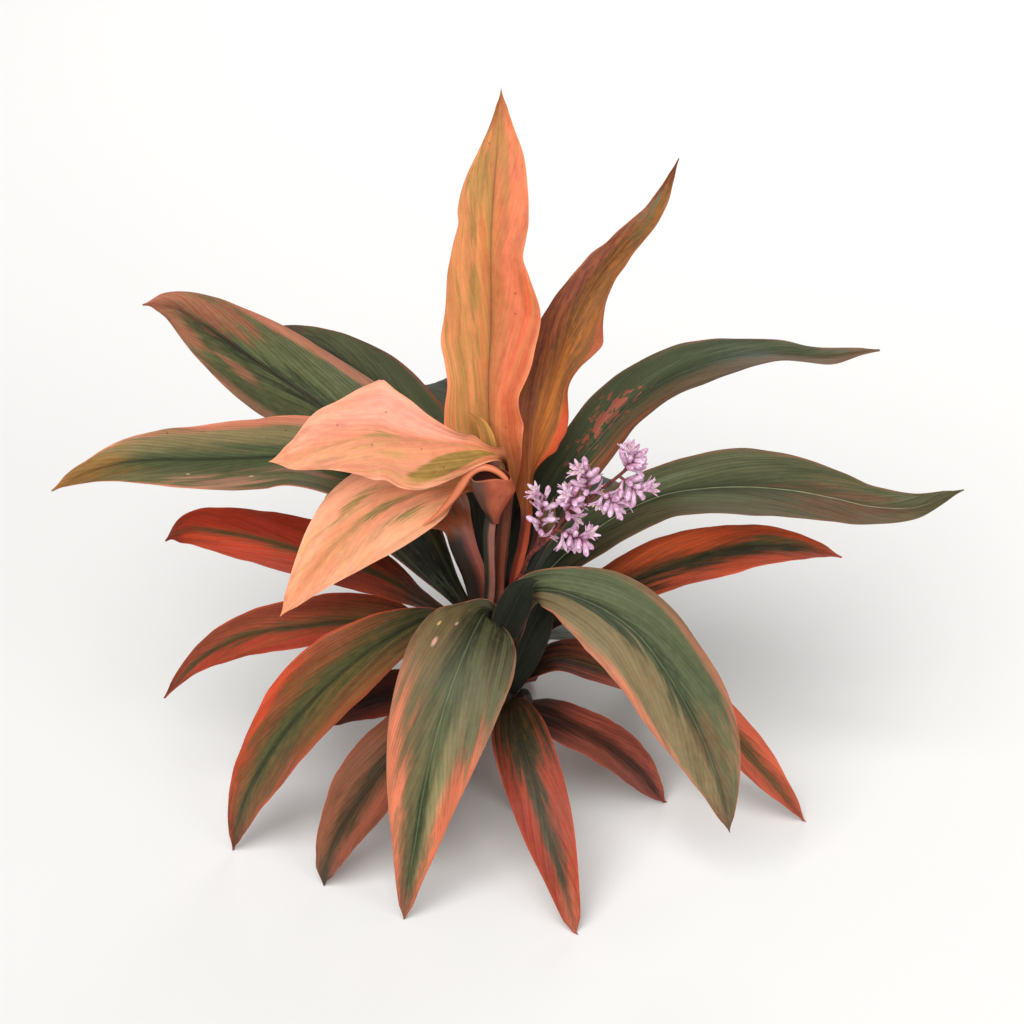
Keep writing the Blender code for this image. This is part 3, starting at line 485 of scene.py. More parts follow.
leafLowerLeft = dict(
    node="leaf_lower_left", slot="red_leaf", seat=(157, -158), wave=(2.0, 2.5, 0.0), rests=True,
    centre="#464928", left="#70462A", right="#804226", band=(0.1, 0.6), margin="#C24A30", tip="#5A1E1A",
    base="#33381F", streak="#6E5A2C", midrib="#333A20", stalk="#4A3022", channel="#1E1810", under="#9A5A3C",
    groove=0.6, baseShadeTo=0.3,
    path=((-26, -10, -15, 8.5, -50), (-52, 0, -22, 26, -48), (-80, -12, -35, 54, -45),
          (-112, -34, -45, 70, -42), (-139, -58, -50, 76, -40), (-163, -84, -53, 72, -38),
          (-184, -114, -55, 58, -36), (-201, -146, -55, 36, -34), (-211, -188, -55, 1.5, -34)),
    patches=(patch(0.95, 0.68, 0.34, 0.3, "#CC4628", 0.9), patch(-0.9, 0.5, 0.25, 0.4, "#B0502F", 0.6),
             patch(0.0, 0.7, 0.12, 0.25, "#2E3820", 0.7)))

leafLowDark = dict(
    node="leaf_low_dark", slot="maroon_leaf", seat=(124, 172), wave=(1.5, 2.0, 0.0), centre="#382420",
    left="#74402E", right="#5E3A2C", band=(0.1, 0.6), margin="#A84432", tip="#7A3426", base="#1A100C",
    streak="#5A2A20", streaks=(0.4, 0.4), midrib="#3A2A20", stalk="#3A241C", channel="#181210",
    under="#5A2A26",
    path=((-14, -56, 8, 8.5, -55), (-36, -56, 10, 26, -52), (-64, -58, 12, 48, -50),
          (-95, -64, 13, 50, -50), (-124, -74, 13, 36, -50), (-150, -90, 12, 1.5, -50)),
    patches=(patch(-0.9, 0.4, 0.25, 0.4, "#963A2A", 0.75),))

leafLowBrown = dict(
    node="leaf_low_brown", slot="red_leaf", seat=(132, -140), wave=(1.5, 2.0, 1.0), rests=True,
    centre="#443622", left="#96503A", right="#845038", band=(0.08, 0.6), margin="#9C4632", tip="#40382A",
    base="#33241A", streak="#54402A", midrib="#4A4028", stalk="#3A241C", channel="#181210", under="#8A5240",
    path=((-14, -62, -22, 8.5, -45), (-38, -70, -40, 28, -42), (-66, -90, -58, 52, -40),
          (-89, -118, -75, 62, -38), (-109, -146, -87, 60, -36), (-125, -172, -95, 44, -36),
          (-135, -196, -100, 25, -36), (-138, -217, -102, 1.5, -36)))

leafFrontLarge = dict(
    node="leaf_front_large", slot="green_leaf", seat=(168, -100), fold=0.1, wave=(2.0, 2.5, 0.0),
    rests=True, centre="#484C2E", left="#5E5636", right="#625236", band=(0.05, 0.45), margin="#A0684A",
    tip="#8A4238", base="#20200F", streak="#5C6440", streaks=(0.5, 0.28), midrib="#70744C", stalk="#5A4030",
    channel="#242A1C", under="#828658", groove=0.5, veins=0.16, baseShadeTo=0.35,
    path=((-3, -8, -20, 8.5, 0), (-8, 4, -36, 22, 0), (-16, -8, -54, 66, 0), (-26, -30, -74, 84, 0),
          (-36, -56, -92, 84, 0), (-46, -88, -108, 78, 0), (-54, -120, -122, 66, 0),
          (-60, -150, -132, 52, 0), (-65, -182, -139, 36, 0), (-70, -212, -143, 20, 0),
          (-74, -247, -145, 1.5, 0)),
    patches=(patch(-0.95, 0.7, 0.55, 0.36, "#E07252", 0.92, ragged=0.4),
             patch(0.98, 0.62, 0.55, 0.42, "#DE7858", 0.92, ragged=0.4),
             patch(0.7, 0.18, 0.4, 0.18, "#75603C", 0.7), patch(-0.38, 0.58, 0.22, 0.3, "#B09C70", 0.35),
             patch(0.0, 0.7, 0.17, 0.24, "#2F3D20", 0.85),
             patch(0.72, 0.16, 0.035, 0.009, "#E0B070", 0.95, ragged=0.1),
             patch(0.42, 0.14, 0.03, 0.008, "#D9A890", 0.9, ragged=0.1),
             patch(0.6, 0.21, 0.045, 0.018, "#DCA894", 0.95, ragged=0.2)))

leafFrontRight = dict(
    node="leaf_front_right", slot="green_leaf", seat=(174, -50), fold=0.1, wave=(2.0, 2.5, 1.0),
    centre="#3A422C", left="#525A3E", right="#7E6C4C", band=(0.04, 0.3), margin="#AE664C", tip="#6E4A38",
    base="#10130C", streak="#5A6244", streaks=(0.5, 0.3), midrib="#6E7450", stalk="#3A2E22",
    channel="#20261A", under="#84825C", groove=0.6, veins=0.15, baseTo=0.24, baseShadeTo=0.35,
    path=((13, -14, -20, 12, 0), (19, 8, -26, 16, 0), (28, 21, -32, 24, -5), (46, 22, -40, 36, -12),
          (66, 16, -50, 52, -16), (89, 5, -62, 68, -18), (113, -13, -74, 74, -20), (134, -40, -86, 74, -20),
          (152, -70, -96, 72, -20), (167, -101, -104, 58, -20), (179, -136, -110, 32, -20),
          (187, -172, -114, 1.5, -20)),
    edges=((-0.05, 0, 0), (0.02, 6, 2), (0.08, 7, 1), (0.15, 2, 0), (0.22, 0, 0)),
    patches=(patch(0.95, 0.5, 0.16, 0.4, "#D07A5C", 0.85, ragged=0.4),
             patch(-0.3, 0.78, 0.7, 0.14, "#8C6648", 0.5),
             patch(-0.9, 0.6, 0.12, 0.3, "#A86A50", 0.7, ragged=0.4)))

leafFrontLow = dict(
    node="leaf_front_low", slot="red_leaf", seat=(128, -80), wave=(1.5, 2.0, 0.0), rests=True,
    centre="#3C3A24", left="#9C3822", right="#94321E", band=(0.12, 0.5), margin="#B84A34", tip="#A05440",
    base="#2C2A1A", streak="#7A4424", streaks=(0.5, 0.3), midrib="#3A3A22", stalk="#3A2A1C",
    channel="#1C1812", under="#9A4A38", baseShadeTo=0.35,
    path=((12, -66, -21, 8.5, 0), (15, -74, -36, 28, 0), (18, -90, -54, 44, 0), (25, -114, -77, 48, 0),
          (34, -143, -102, 46, 0), (43, -174, -124, 40, 0), (52, -206, -142, 28, 0),
          (60, -238, -156, 15, 0), (65, -260, -164, 1.5, 0)),
    patches=(patch(0.0, 0.1, 1.4, 0.32, "#30301C", 0.95, ragged=1.0),
             patch(-0.1, 0.88, 1.0, 0.12, "#C06A50", 0.5)))

leafLowRight = dict(
    node="leaf_low_right", slot="maroon_leaf", seat=(120, -20), wave=(1.5, 2.0, 0.5), rests=True,
    centre="#4C2C20", left="#A0503E", right="#8C4A3A", band=(0.08, 0.5), margin="#B85440", tip="#94483A",
    base="#24160F", streak="#5A2A1E", midrib="#6A3A28", stalk="#2E1E16", channel="#16100C", under="#7A3A30",
    path=((28, -72, -9, 8.5, 45), (48, -80, -8, 28, 42), (71, -91, -5, 42, 40), (94, -105, -1, 44, 38),
          (117, -125, 5, 32, 36), (137, -150, 12, 1.5, 36)),
    edges=((-0.3, 3, 3), (0, 8, 8), (0.15, 4, 4), (0.3, 0, 0)))

leafRightBehind = dict(
    node="leaf_right_behind", slot="red_leaf", seat=(138, 5), wave=(2.0, 2.0, 0.0), rests=True,
    centre="#6A4C2E", left="#CC5E44", right="#CC5E46", band=(0.1, 0.6), margin="#CC6248", tip="#A84A3A",
    base="#2C1C12", streak="#8A5230", midrib="#7A6A3C", stalk="#2E1E16", channel="#16100C", under="#A85038",
    path=((26, -42, 0, 8.5, 50), (48, -32, 2, 28, 48), (78, -38, 2, 48, 45), (118, -52, 0, 54, 42),
          (158, -72, -4, 50, 40), (190, -96, -8, 42, 38), (219, -127, -12, 30, 36),
          (248, -164, -16, 1.5, 36)),
    edges=((-0.2, 3, 3), (0, 8, 4), (0.1, 4, 0), (0.2, 0, -5), (0.35, 0, -7), (0.5, 0, -4), (0.7, 0, 0)))

leafRightRed = dict(
    node="leaf_right_red", slot="red_leaf", seat=(146, 25), wave=(2.0, 2.0, 0.5), centre="#30311F",
    left="#C84E2C", right="#B0442A", band=(0.12, 0.65), margin="#D05A3E", tip="#B04A34", base="#1E1810",
    streak="#6A4A2A", midrib="#44462C", stalk="#3A241C", channel="#181210", under="#A04C36",
    path=((26, -24, 10, 8.5, 40), (46, -2, 15, 16, 40), (72, 14, 19, 34, 40), (102, 27, 22, 52, 40),
          (140, 42, 24, 56, 42), (176, 51, 25, 52, 42), (210, 57, 25, 44, 42), (244, 56, 24, 27, 42),
          (277, 49, 22, 1.5, 42)),
    patches=(patch(0.3, 0.18, 1.7, 0.3, "#30291A", 0.95, ragged=0.9, inner=0.5),
             patch(-0.6, 0.45, 0.5, 0.25, "#DC5C34", 0.85), patch(-0.35, 0.8, 0.35, 0.12, "#4A5234", 0.8)))

leafRightLong = dict(
    node="leaf_right_long", slot="green_leaf", seat=(171, 12), wave=(2.0, 2.5, 0.0), centre="#42462F",
    left="#585A3E", right="#605A3E", band=(0.05, 0.5), margin="#8A5A44", tip="#5A5238", base="#262C1F",
    streak="#3C4730", midrib="#949A72", stalk="#3A2C22", channel="#1C1C14", under="#66704E", ribLine=0.7,
    groove=0.35, veins=0.22, baseShadeTo=0.3,
    path=((23, 14, 10, 8.5, 30), (42, 38, 14, 22, 35), (63, 58, 15, 42, 40), (95, 81, 17, 56, 43),
          (132, 98, 20, 62, 45), (168, 104, 20, 70, 45), (203, 105, 19, 74, 45), (238, 102, 17, 68, 45),
          (270, 96, 14, 56, 44), (302, 89, 10, 42, 42), (338, 89, 5, 24, 40), (374, 103, 0, 1.5, 40)),
    patches=(patch(0.2, 0.75, 1.0, 0.16, "#70503A", 0.75, ragged=0.9),
             patch(-0.4, 0.35, 0.3, 0.12, "#6A7652", 0.6), patch(0.35, 0.45, 0.25, 0.12, "#64704C", 0.5)))

leafRightArching = dict(
    node="leaf_right_arching", slot="dark_leaf", seat=(180, 50), fold=0.14, wave=(2.0, 2.5, 1.0),
    centre="#424C34", left="#4C563C", right="#6E5A40", band=(0.05, 0.5), margin="#8A5444", tip="#7A5A3E",
    base="#1C2218", streak="#2E3827", midrib="#6E765A", stalk="#2C2A20", channel="#161812", under="#6A5C44",
    baseShadeTo=0.35,
    path=((16, 26, 16, 8.5, 10), (28, 54, 32, 16, 20), (41, 84, 48, 32, 30), (56, 112, 58, 52, 35),
          (79, 140, 66, 62, 42), (104, 168, 72, 64, 50), (137, 191, 79, 64, 55), (174, 205, 84, 62, 58),
          (215, 211, 88, 46, 62), (262, 209, 91, 24, 62), (307, 215, 94, 1.5, 60)),
    edges=((-0.2, 6, 2), (-0.08, 18, 4), (0, 24, 6), (0.1, 20, 4), (0.2, 7, 1), (0.28, 0, 0), (0.6, 0, 0),
           (0.72, -2, 0), (0.8, -5.5, -1.5), (0.86, -5, 2), (0.9, -4, 3.7), (0.95, -2, 1.5), (1, 0, 0)),
    patches=(patch(0.42, 0.27, 0.035, 0.14, "#B8704C", 0.85, ragged=0.1),
             patch(-0.25, 0.36, 0.3, 0.07, "#B05E4C", 0.85, ragged=2.6, kind="Mottle"),
             patch(0.8, 0.33, 0.25, 0.2, "#9A5638", 0.8, ragged=0.4),
             patch(0.3, 0.85, 0.8, 0.12, "#7A5A40", 0.5)))

leafBackLeft = dict(
    backLeaf, node="leaf_back_left", seat=(144, 122), wave=(1.5, 2.0, 0.0), rests=True, centre="#424A30",
    left="#7C4A2E", right="#6A4C30", band=(0.15, 0.7), margin="#AA4A32", tip="#6A2A20", base="#22241A",
    streak="#4A4A2C", midrib="#5E6040", under="#645440",
    path=((-12, -22, 26, 8.5, 0), (-28, -14, 56, 16, 0), (-48, -10, 92, 46, 0), (-68, -14, 126, 62, 0),
          (-86, -22, 156, 62, 0), (-100, -34, 180, 46, 0), (-110, -46, 197, 24, 0),
          (-118, -60, 212, 1.5, 0)))

leafBackRight = dict(
    backLeaf, node="leaf_back_right", seat=(136, 64), wave=(1.5, 2.0, 0.6), rests=True, centre="#3A442E",
    left="#4C5638", right="#54573A", band=(0.1, 0.6), margin="#A8503A", tip="#7A3C2A", base="#22261A",
    streak="#38432E", midrib="#5E6040", under="#566042",
    path=((16, -26, 26, 8.5, 0), (34, -16, 58, 16, 0), (58, -12, 96, 46, 0), (82, -16, 132, 62, 0),
          (102, -26, 162, 60, 0), (117, -38, 184, 44, 0), (128, -50, 200, 24, 0), (137, -64, 214, 1.5, 0)))

leafBackLow = dict(
    backLeaf, node="leaf_back_low", seat=(128, 92), wave=(1.5, 2.0, 0.3), rests=True, centre="#42422A",
    left="#8E3524", right="#8A3A26", band=(0.15, 0.6), margin="#B84A34", tip="#5E2420", base="#1E1C12",
    streak="#5A3A22", midrib="#5A5834", stalk="#2E1E16", channel="#16100C", under="#743E30",
    path=((6, -44, 28, 8.5, 0), (8, -36, 60, 20, 0), (9, -32, 100, 48, 0), (10, -36, 138, 58, 0),
          (11, -46, 172, 54, 0), (11, -58, 200, 36, 0), (10, -70, 222, 1.5, 0)))

leafBackMid = dict(
    backLeaf, node="leaf_back_mid", seat=(153, 92), wave=(1.5, 2.0, 0.5), centre="#394229", left="#4A4E32",
    right="#5A4A30", band=(0.1, 0.6), margin="#9A4430", tip="#6A3226", base="#1C1E14", streak="#36402A",
    midrib="#585C3C", under="#4E5238",
    path=((5, 8, 28, 8.5, 0), (7, 40, 64, 10, 0), (8, 72, 104, 40, 0), (4, 94, 146, 56, 0),
          (0, 102, 188, 56, 0), (-4, 100, 226, 44, 0), (-6, 90, 258, 24, 0), (-6, 76, 282, 1.5, 0)))

leafBackMidLeft = dict(
    backLeaf, node="leaf_back_mid_left", seat=(167, 118), wave=(1.5, 2.0, 0.9), centre="#384029",
    left="#7A3A28", right="#6E3E2A", band=(0.15, 0.7), margin="#A84832", tip="#62281E", base="#1C1A12",
    streak="#4A4028", midrib="#565434", under="#5E3E30",
    path=((-11, 26, 26, 8.5, 0), (-23, 62, 58, 10, 0), (-42, 92, 92, 30, 0), (-70, 108, 128, 50, 0),
          (-96, 110, 164, 56, 0), (-116, 102, 196, 44, 0), (-128, 88, 220, 24, 0), (-134, 72, 238, 1.5, 0)))

leafBackMidRight = dict(
    backLeaf, node="leaf_back_mid_right", seat=(162, 48), wave=(1.5, 2.0, 0.1), centre="#384229",
    left="#4A5436", right="#4A5236", band=(0.1, 0.6), margin="#8C4632", tip="#5A3226", base="#1C1E14",
    streak="#35402A", midrib="#585E3C", under="#4A523A",
    path=((14, 10, 26, 8.5, 0), (28, 44, 58, 12, 0), (46, 76, 92, 38, 0), (66, 96, 128, 52, 0),
          (84, 106, 162, 52, 0), (98, 108, 194, 40, 0), (108, 104, 220, 22, 0), (114, 96, 238, 1.5, 0)))

allLeaves = (leafUpright, leafYoung, leafTwisted, leafBentAcross, leafBentDown, leafUpperLeft,
             leafUpperLeftBehind, leafBackArching, leafLeftLong, leafLeftUpperRed, leafLeftRed,
             leafLowerLeft, leafLowDark, leafLowBrown, leafFrontLarge, leafFrontRight, leafFrontLow,
             leafLowRight, leafRightBehind, leafRightRed, leafRightLong, leafRightArching,
             leafBackLeft, leafBackRight, leafBackLow, leafBackMid, leafBackMidLeft, leafBackMidRight)

leafBuild = dict(
    seatGap=0.3 * mm, stalkWidth=8.5 * mm, stalkThickness=3.4 * mm, stalkChannel=0.34, widening=16 * mm,
    foldCurve=1.6, sideLag=1.3, floorClearance=0.9 * mm, leastWidth=1.2 * mm,
    columnSpread=0.8,  # under 1 sets the columns a little closer at the margins
    tipFrom=0.55, tipRun=0.4,  # where along the leaf its waves die out towards the tip
    marginRoll=0.7, ruffleBeats=(5, 9, 14),
    stepsPerPoint=11, columns=37, bladeThickness=0.45 * mm, ribDepth=1.5 * mm, ribHalfWidth=1.5 * mm,
    grooveDepth=0.5 * mm, grooveHalfWidth=1.1 * mm, pleatHeight=0.25 * mm, pleatRun=3.8, veinLean=4.6,
    veinSpacing=1.9, ruffle=0.9 * mm, bladeStart=12 * mm, tipTaper=14 * mm)


def seatOf(seat):  # the outward direction of a stalk's foot, and its place beside the cane
    height, azimuth = seat[0] * mm, math.radians(seat[1])
    outward = Vector((math.cos(azimuth), math.sin(azimuth), 0))
    return outward, caneCentre(height) + outward * (caneRadius(height) + leafBuild["seatGap"])


# the midrib's points, the directions along and across it, the width, and the length run
def leafLine(leaf):
    facing = sky if leaf["facing"] == "sky" else toward
    rows = [(*seen(across, up, back), width * mm, roll) for across, up, back, width, roll in leaf["path"]]
    if "seat" in leaf:
        outward, start = seatOf(leaf["seat"])
        foot = start + outward * leaf["foot"] * mm
        level = outward.cross(facing).normalized()
        face = level.cross(outward).normalized()
        footRoll = 0.0 if facing is sky else math.degrees(math.atan2(-sky.dot(level), sky.dot(face)))
        rows = [(*start, rows[0][3], footRoll), (*foot, rows[0][3], footRoll)] + rows
    filled = smoothRows(rows, leafBuild["stepsPerPoint"])
    centres = filled[:, :3].copy()
    if leaf["rests"]:
        centres[:, 2] = np.maximum(centres[:, 2], leafBuild["floorClearance"])
    along = unit(np.gradient(centres, axis=0))
    if "seat" in leaf:
        along[0] = outward
    level = unit(np.cross(along, np.array(facing)))
    face = unit(np.cross(level, along))
    turn = np.radians(filled[:, 4])[:, None]
    across = unit(level * np.cos(turn) + face * np.sin(turn))
    run = np.concatenate([[0], np.cumsum(np.linalg.norm(np.diff(centres, axis=0), axis=1))])
    pointed = np.clip((run[-1] - run) / leafBuild["tipTaper"], 0, 1) ** 0.7
    width = np.maximum(filled[:, 3], leafBuild["leastWidth"]) * (0.12 + 0.88 * pointed)
    return centres, along, across, width, run


def leafMesh(leaf, seed):
    centres, along, across, width, run = leafLine(leaf)
    face = unit(np.cross(across, along))
    share = run / run[-1]
    begin = run[np.argmax(width > leafBuild["bladeStart"])]
    blade = (run - begin) / (run[-1] - begin)  # 0 where the blade begins, 1 at its tip, below 0 on the stalk
    stations, columns = len(run), leafBuild["columns"]
    spread = leafBuild["columnSpread"]
    u = np.sin(np.linspace(-1, 1, columns) * math.pi / 2 * spread) / math.sin(math.pi / 2 * spread)
    half = (width / 2)[:, None]
    bladePart = np.clip((width - leafBuild["stalkWidth"]) / leafBuild["widening"], 0, 1)[:, None]
    tipPart = np.clip((share - leafBuild["tipFrom"]) / leafBuild["tipRun"], 0, 1)[:, None]
    edges = smoothRows(leaf["edges"], 8)
    leftMore = np.interp(blade, edges[:, 0], edges[:, 1])[:, None] * mm
    rightMore = np.interp(blade, edges[:, 0], edges[:, 2])[:, None] * mm
    sideHalf = np.where(u[None] < 0, half + leftMore, half + rightMore)
    out = u[None] * sideHalf
    size = np.abs(u)[None]

    # the blade's form: fold along the rib, slow waves, a frilled margin and pleats along the veins
    fold = leafBuild["stalkChannel"] * (1 - bladePart) + leaf["fold"] * bladePart
    rolled = np.where(u[None] < 0, leftMore, rightMore)
    waves, waveHeight, waveStart = leaf["wave"]
    lag = np.where(u > 0, leafBuild["sideLag"], 0)[None]
    swing = np.sin(2 * math.pi * waves * share[:, None] + waveStart + lag)
    rise = fold * half * size ** leafBuild["foldCurve"]
    rise = rise + waveHeight * mm * bladePart * (1 - tipPart) * size ** 2 * swing
    rise = rise - leafBuild["marginRoll"] * rolled * size ** 3
    draw = np.random.default_rng(seed)
    window = bladePart * smoothstep(-0.02, 0.08, blade)[:, None] * (1 - smoothstep(0.9, 1.0, blade))[:, None]
    for count in leafBuild["ruffleBeats"]:
        start = draw.uniform(0, 6.3)
        beat = np.sin(2 * math.pi * count * blade[:, None] + start + np.where(u > 0, 2.0, 0)[None])
        rise = rise + leaf["ruffle"] * leafBuild["ruffle"] * 5 / count * size ** 4 * window * beat
    lean = leafBuild["veinLean"] * (size ** 0.75 + 0.6 * size ** 4)
    veinRun = run[:, None] * 100 - half * 100 * lean
    pleat = np.sin(2 * math.pi * veinRun / leafBuild["pleatRun"]) * smoothstep(0, 0.2, size) * (1 - size ** 6)
    rise = rise + leafBuild["pleatHeight"] * window * pleat
    groove = np.exp(-(out / leafBuild["grooveHalfWidth"]) ** 2)
    rise = rise - leafBuild["grooveDepth"] * bladePart * (1 - tipPart) * groove

    # the thickness, with the rib below
    rib = np.exp(-(out / leafBuild["ribHalfWidth"]) ** 2) * (1 - 0.75 * share[:, None])
    bladeThick = leafBuild["bladeThickness"] + leafBuild["ribDepth"] * rib
    stalkThick = leafBuild["stalkThickness"] * (0.35 + 0.65 * (1 - size ** 2))
    thick = stalkThick * (1 - bladePart) + bladeThick * bladePart
    thick = thick * (1 - 0.45 * size ** 8) * (1 - 0.45 * tipPart ** 3)

    upper = centres[:, None] + across[:, None] * out[..., None] + face[:, None] * rise[..., None]
    lower = upper - face[:, None] * thick[..., None]
    ring = np.concatenate([upper, lower[:, ::-1]], axis=1)
    if leaf["rests"]:
        ring[..., 2] = np.maximum(ring[..., 2], 0.1 * mm)
    around = 2 * columns
    near = (np.arange(stations - 1)[:, None] * around + np.arange(around)[None])
    after = np.arange(stations - 1)[:, None] * around + (np.arange(around) + 1)[None] % around
    faces = np.stack([near, near + around, after + around, after], axis=-1).reshape(-1, 4)[:, ::-1].tolist()
    faces.append(list(range(around)))
    faces.append(list(range((stations - 1) * around, stations * around))[::-1])
    under = np.broadcast_to(np.concatenate([np.zeros(columns), np.ones(columns)]), (stations, around))
    acrossBoth, veinRunBoth, outBoth = (
        np.concatenate([grid, grid[:, ::-1]], axis=1)
        for grid in (np.broadcast_to(u, (stations, columns)), veinRun, out * 100))
    places = np.stack([acrossBoth, np.repeat(blade[:, None], around, 1), under], -1)
    flatPlaces = np.stack([veinRunBoth, outBoth, np.repeat(run[:, None] * 100, around, 1)], -1)
    facts = {"leafSpace": places.reshape(-1, 3), "veinSpace": flatPlaces.reshape(-1, 3)}
    return ring.reshape(-1, 3), faces, facts


def leafMaterial(leaf, seed):
    material, tree, shader = newMaterial(leaf["node"] + "_skin")
    spot = fill(tree, leafPlaces, {})
    places = {label: spot[label] for label in ("Run", "Across", "AcrossCm", "AlongCm")}
    field = fill(tree, streakField, {**places, "Seed": seed * 1.7})

    def step(value, low, high, ragged=0.0, kind="Broad"):
        return fill(tree, stepMask, {"Value": value, "From": low, "To": high, "Field": field[kind],
                                     "Ragged": ragged})["Mask"]

    isRight = ramp(tree, spot["Across"], -0.05, 0.05)
    colour = blend(tree, isRight, leaf["left"], leaf["right"])
    # the band along the midrib: the leaf's own tone there, on many leaves also painted darker as the shade of
    # the fold's valley
    colour = blend(tree, step(spot["Side"], *leaf["band"], 0.35), leaf["centre"], colour)
    colour = blend(tree, step(spot["Along"], leaf["tipFrom"], 1.0, 0.08), colour, leaf["tip"])
    # the base tone: the leaf's own darker base, deepened with painted shade near the crown
    colour = blend(tree, step(spot["Along"], leaf["baseTo"], 0.02, 0.1), colour, leaf["base"])
    for mark in leaf["patches"]:
        mask = fill(tree, patchMask, {"Across": spot["Across"], "Along": spot["Along"],
                                      "Field": field[mark["kind"]], **mark["form"]})["Mask"]
        colour = blend(tree, calc(tree, "MULTIPLY", mask, mark["amount"]), colour, mark["colour"])
    strength = ramp(tree, isRight, 0, 1, *leaf["streaks"])
    broadStreak = ramp(tree, field["Broad"], 0.5, 0.9)
    fineStreak = ramp(tree, field["Fine"], 0.45, 0.9)
    mottle = ramp(tree, field["Mottle"], 0.45, 0.9)
    coarse = calc(tree, "MULTIPLY_ADD", mottle, 0.35, broadStreak)
    streakMask = calc(tree, "MULTIPLY_ADD", fineStreak, 0.4, coarse, clamp=True)
    colour = blend(tree, calc(tree, "MULTIPLY", streakMask, strength), colour, leaf["streak"])
    marginMask = calc(tree, "MULTIPLY", step(spot["Side"], leaf["marginFrom"], 1.0, 0.08, "Fine"),
                      ramp(tree, field["Cloud"], 0.1, 0.8, 0.3, 0.85))
    colour = blend(tree, marginMask, colour, leaf["margin"])

    # the stalk, with painted shade in its channel and down its left side
    channel = blend(tree, ramp(tree, spot["Across"], -0.45, 0.3), leaf["channel"], leaf["stalk"])
    colour = blend(tree, ramp(tree, spot["Along"], 0.02, -0.05), colour, channel)

    # painted shade in the groove along the rib, with a fine line in it, then veins and clouds
    fromRib = calc(tree, "ABSOLUTE", spot["AcrossCm"])
    pastStalk, beforeTip = ramp(tree, spot["Along"], 0.0, 0.08), ramp(tree, spot["Along"], 1.0, 0.75)
    onBlade = calc(tree, "MULTIPLY", pastStalk, beforeTip)
    # painted shade: the channel tone laid along the rib's groove, as dark as the leaf's groove setting
    grooveShadeMask = calc(tree, "MULTIPLY", ramp(tree, fromRib, 0.34, 0.04, 0.0, leaf["groove"]), onBlade)
    colour = blend(tree, grooveShadeMask, colour, leaf["channel"])
    lineMask = calc(tree, "MULTIPLY", ramp(tree, fromRib, 0.075, 0.035, 0.0, leaf["ribLine"]), onBlade)
    colour = blend(tree, lineMask, colour, leaf["midrib"])
    veins = fill(tree, veinRelief,
                 {"Run": spot["Run"], "Field": field["Cloud"], "Spacing": leafBuild["veinSpacing"]})
    veinMask = calc(tree, "MULTIPLY", veins["Line"], ramp(tree, spot["Along"], 0.0, 0.1, 0.0, leaf["veins"]))
    colour = blend(tree, veinMask, colour, leaf["channel"])
    shade = calc(tree, "MULTIPLY_ADD", field["Fine"], 0.14, 0.67)
    shade = calc(tree, "MULTIPLY_ADD", field["Cloud"], 0.34, shade)
    shade = calc(tree, "MULTIPLY_ADD", field["Mottle"], 0.18, shade)
    # painted shade: each leaf darker towards its stalk and base, where the crown shades it
    shade = calc(tree, "MULTIPLY", shade, ramp(tree, spot["Along"], -0.05, leaf["baseShadeTo"], 0.6, 1.0))
    grey = place(tree, "ShaderNodeCombineColor", {0: shade, 1: shade, 2: shade}).outputs[0]
    colour = blend(tree, 1.0, colour, grey, "MULTIPLY")
    dots = fill(tree, specks, {"AcrossCm": spot["AcrossCm"], "AlongCm": spot["AlongCm"], "Seed": seed * 3.1,
                               "Chance": leaf["specks"]})["Mask"]
    colour = blend(tree, calc(tree, "MULTIPLY", dots, 0.5), colour, leaf["speck"])
    underside = blend(tree, 0.72, colour, leaf["under"])
    colour = blend(tree, spot["Under"], colour, underside)

    rough = calc(tree, "MULTIPLY_ADD", spot["Under"], 0.14, leaf["rough"])
    rough = calc(tree, "MULTIPLY_ADD", field["Fine"], 0.12, rough)
    height = calc(tree, "MULTIPLY_ADD", veins["Height"], 0.7, calc(tree, "MULTIPLY", field["Fine"], 0.5))
    coat(tree, shader, colour, rough, height, 0.28, 0.6 * mm)
    shader.inputs["Specular IOR Level"].default_value = 0.22
    letLightIn(shader, 0.06, (1.0, 0.45, 0.25), 3 * mm)
    return material


def makeLeaf(leaf, name, seed):
    leaf = dict(leafCommon, **leaf)
    points, faces, facts = leafMesh(leaf, seed)
    piece = newPiece(name, points, faces, [leafMaterial(leaf, seed)], facts=facts)
    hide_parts(leaf["node"])


for number, leaf in enumerate(allLeaves):
    makeLeaf(leaf, leaf["node"] + "_blade", number + 1)
print("leaves ready:", len(allLeaves))


def ringBasis(along):
    first = along.cross(sky if abs(along.z) < 0.9 else right).normalized()
    return first, along.cross(first).normalized()


def addTube(store, line, radii, sides, mark):  # a closed round piece through the points
    points, faces, marks, *runs = store
    begin = len(points)
    for index, point in enumerate(line):
        along = (line[min(index + 1, len(line) - 1)] - line[max(index - 1, 0)]).normalized()
        first, second = ringBasis(along)
        for side in range(sides):
            angle = 2 * math.pi * side / sides
            points.append(point + radii[index] * (math.cos(angle) * first + math.sin(angle) * second))
            for run in runs:
                run.append((0.5 * index / (len(line) - 1), 0, 0))
    made = ringFaces(begin, len(line), sides) + ringCaps(begin, len(line), sides)
    faces.extend(made)
    marks.extend([mark] * len(made))


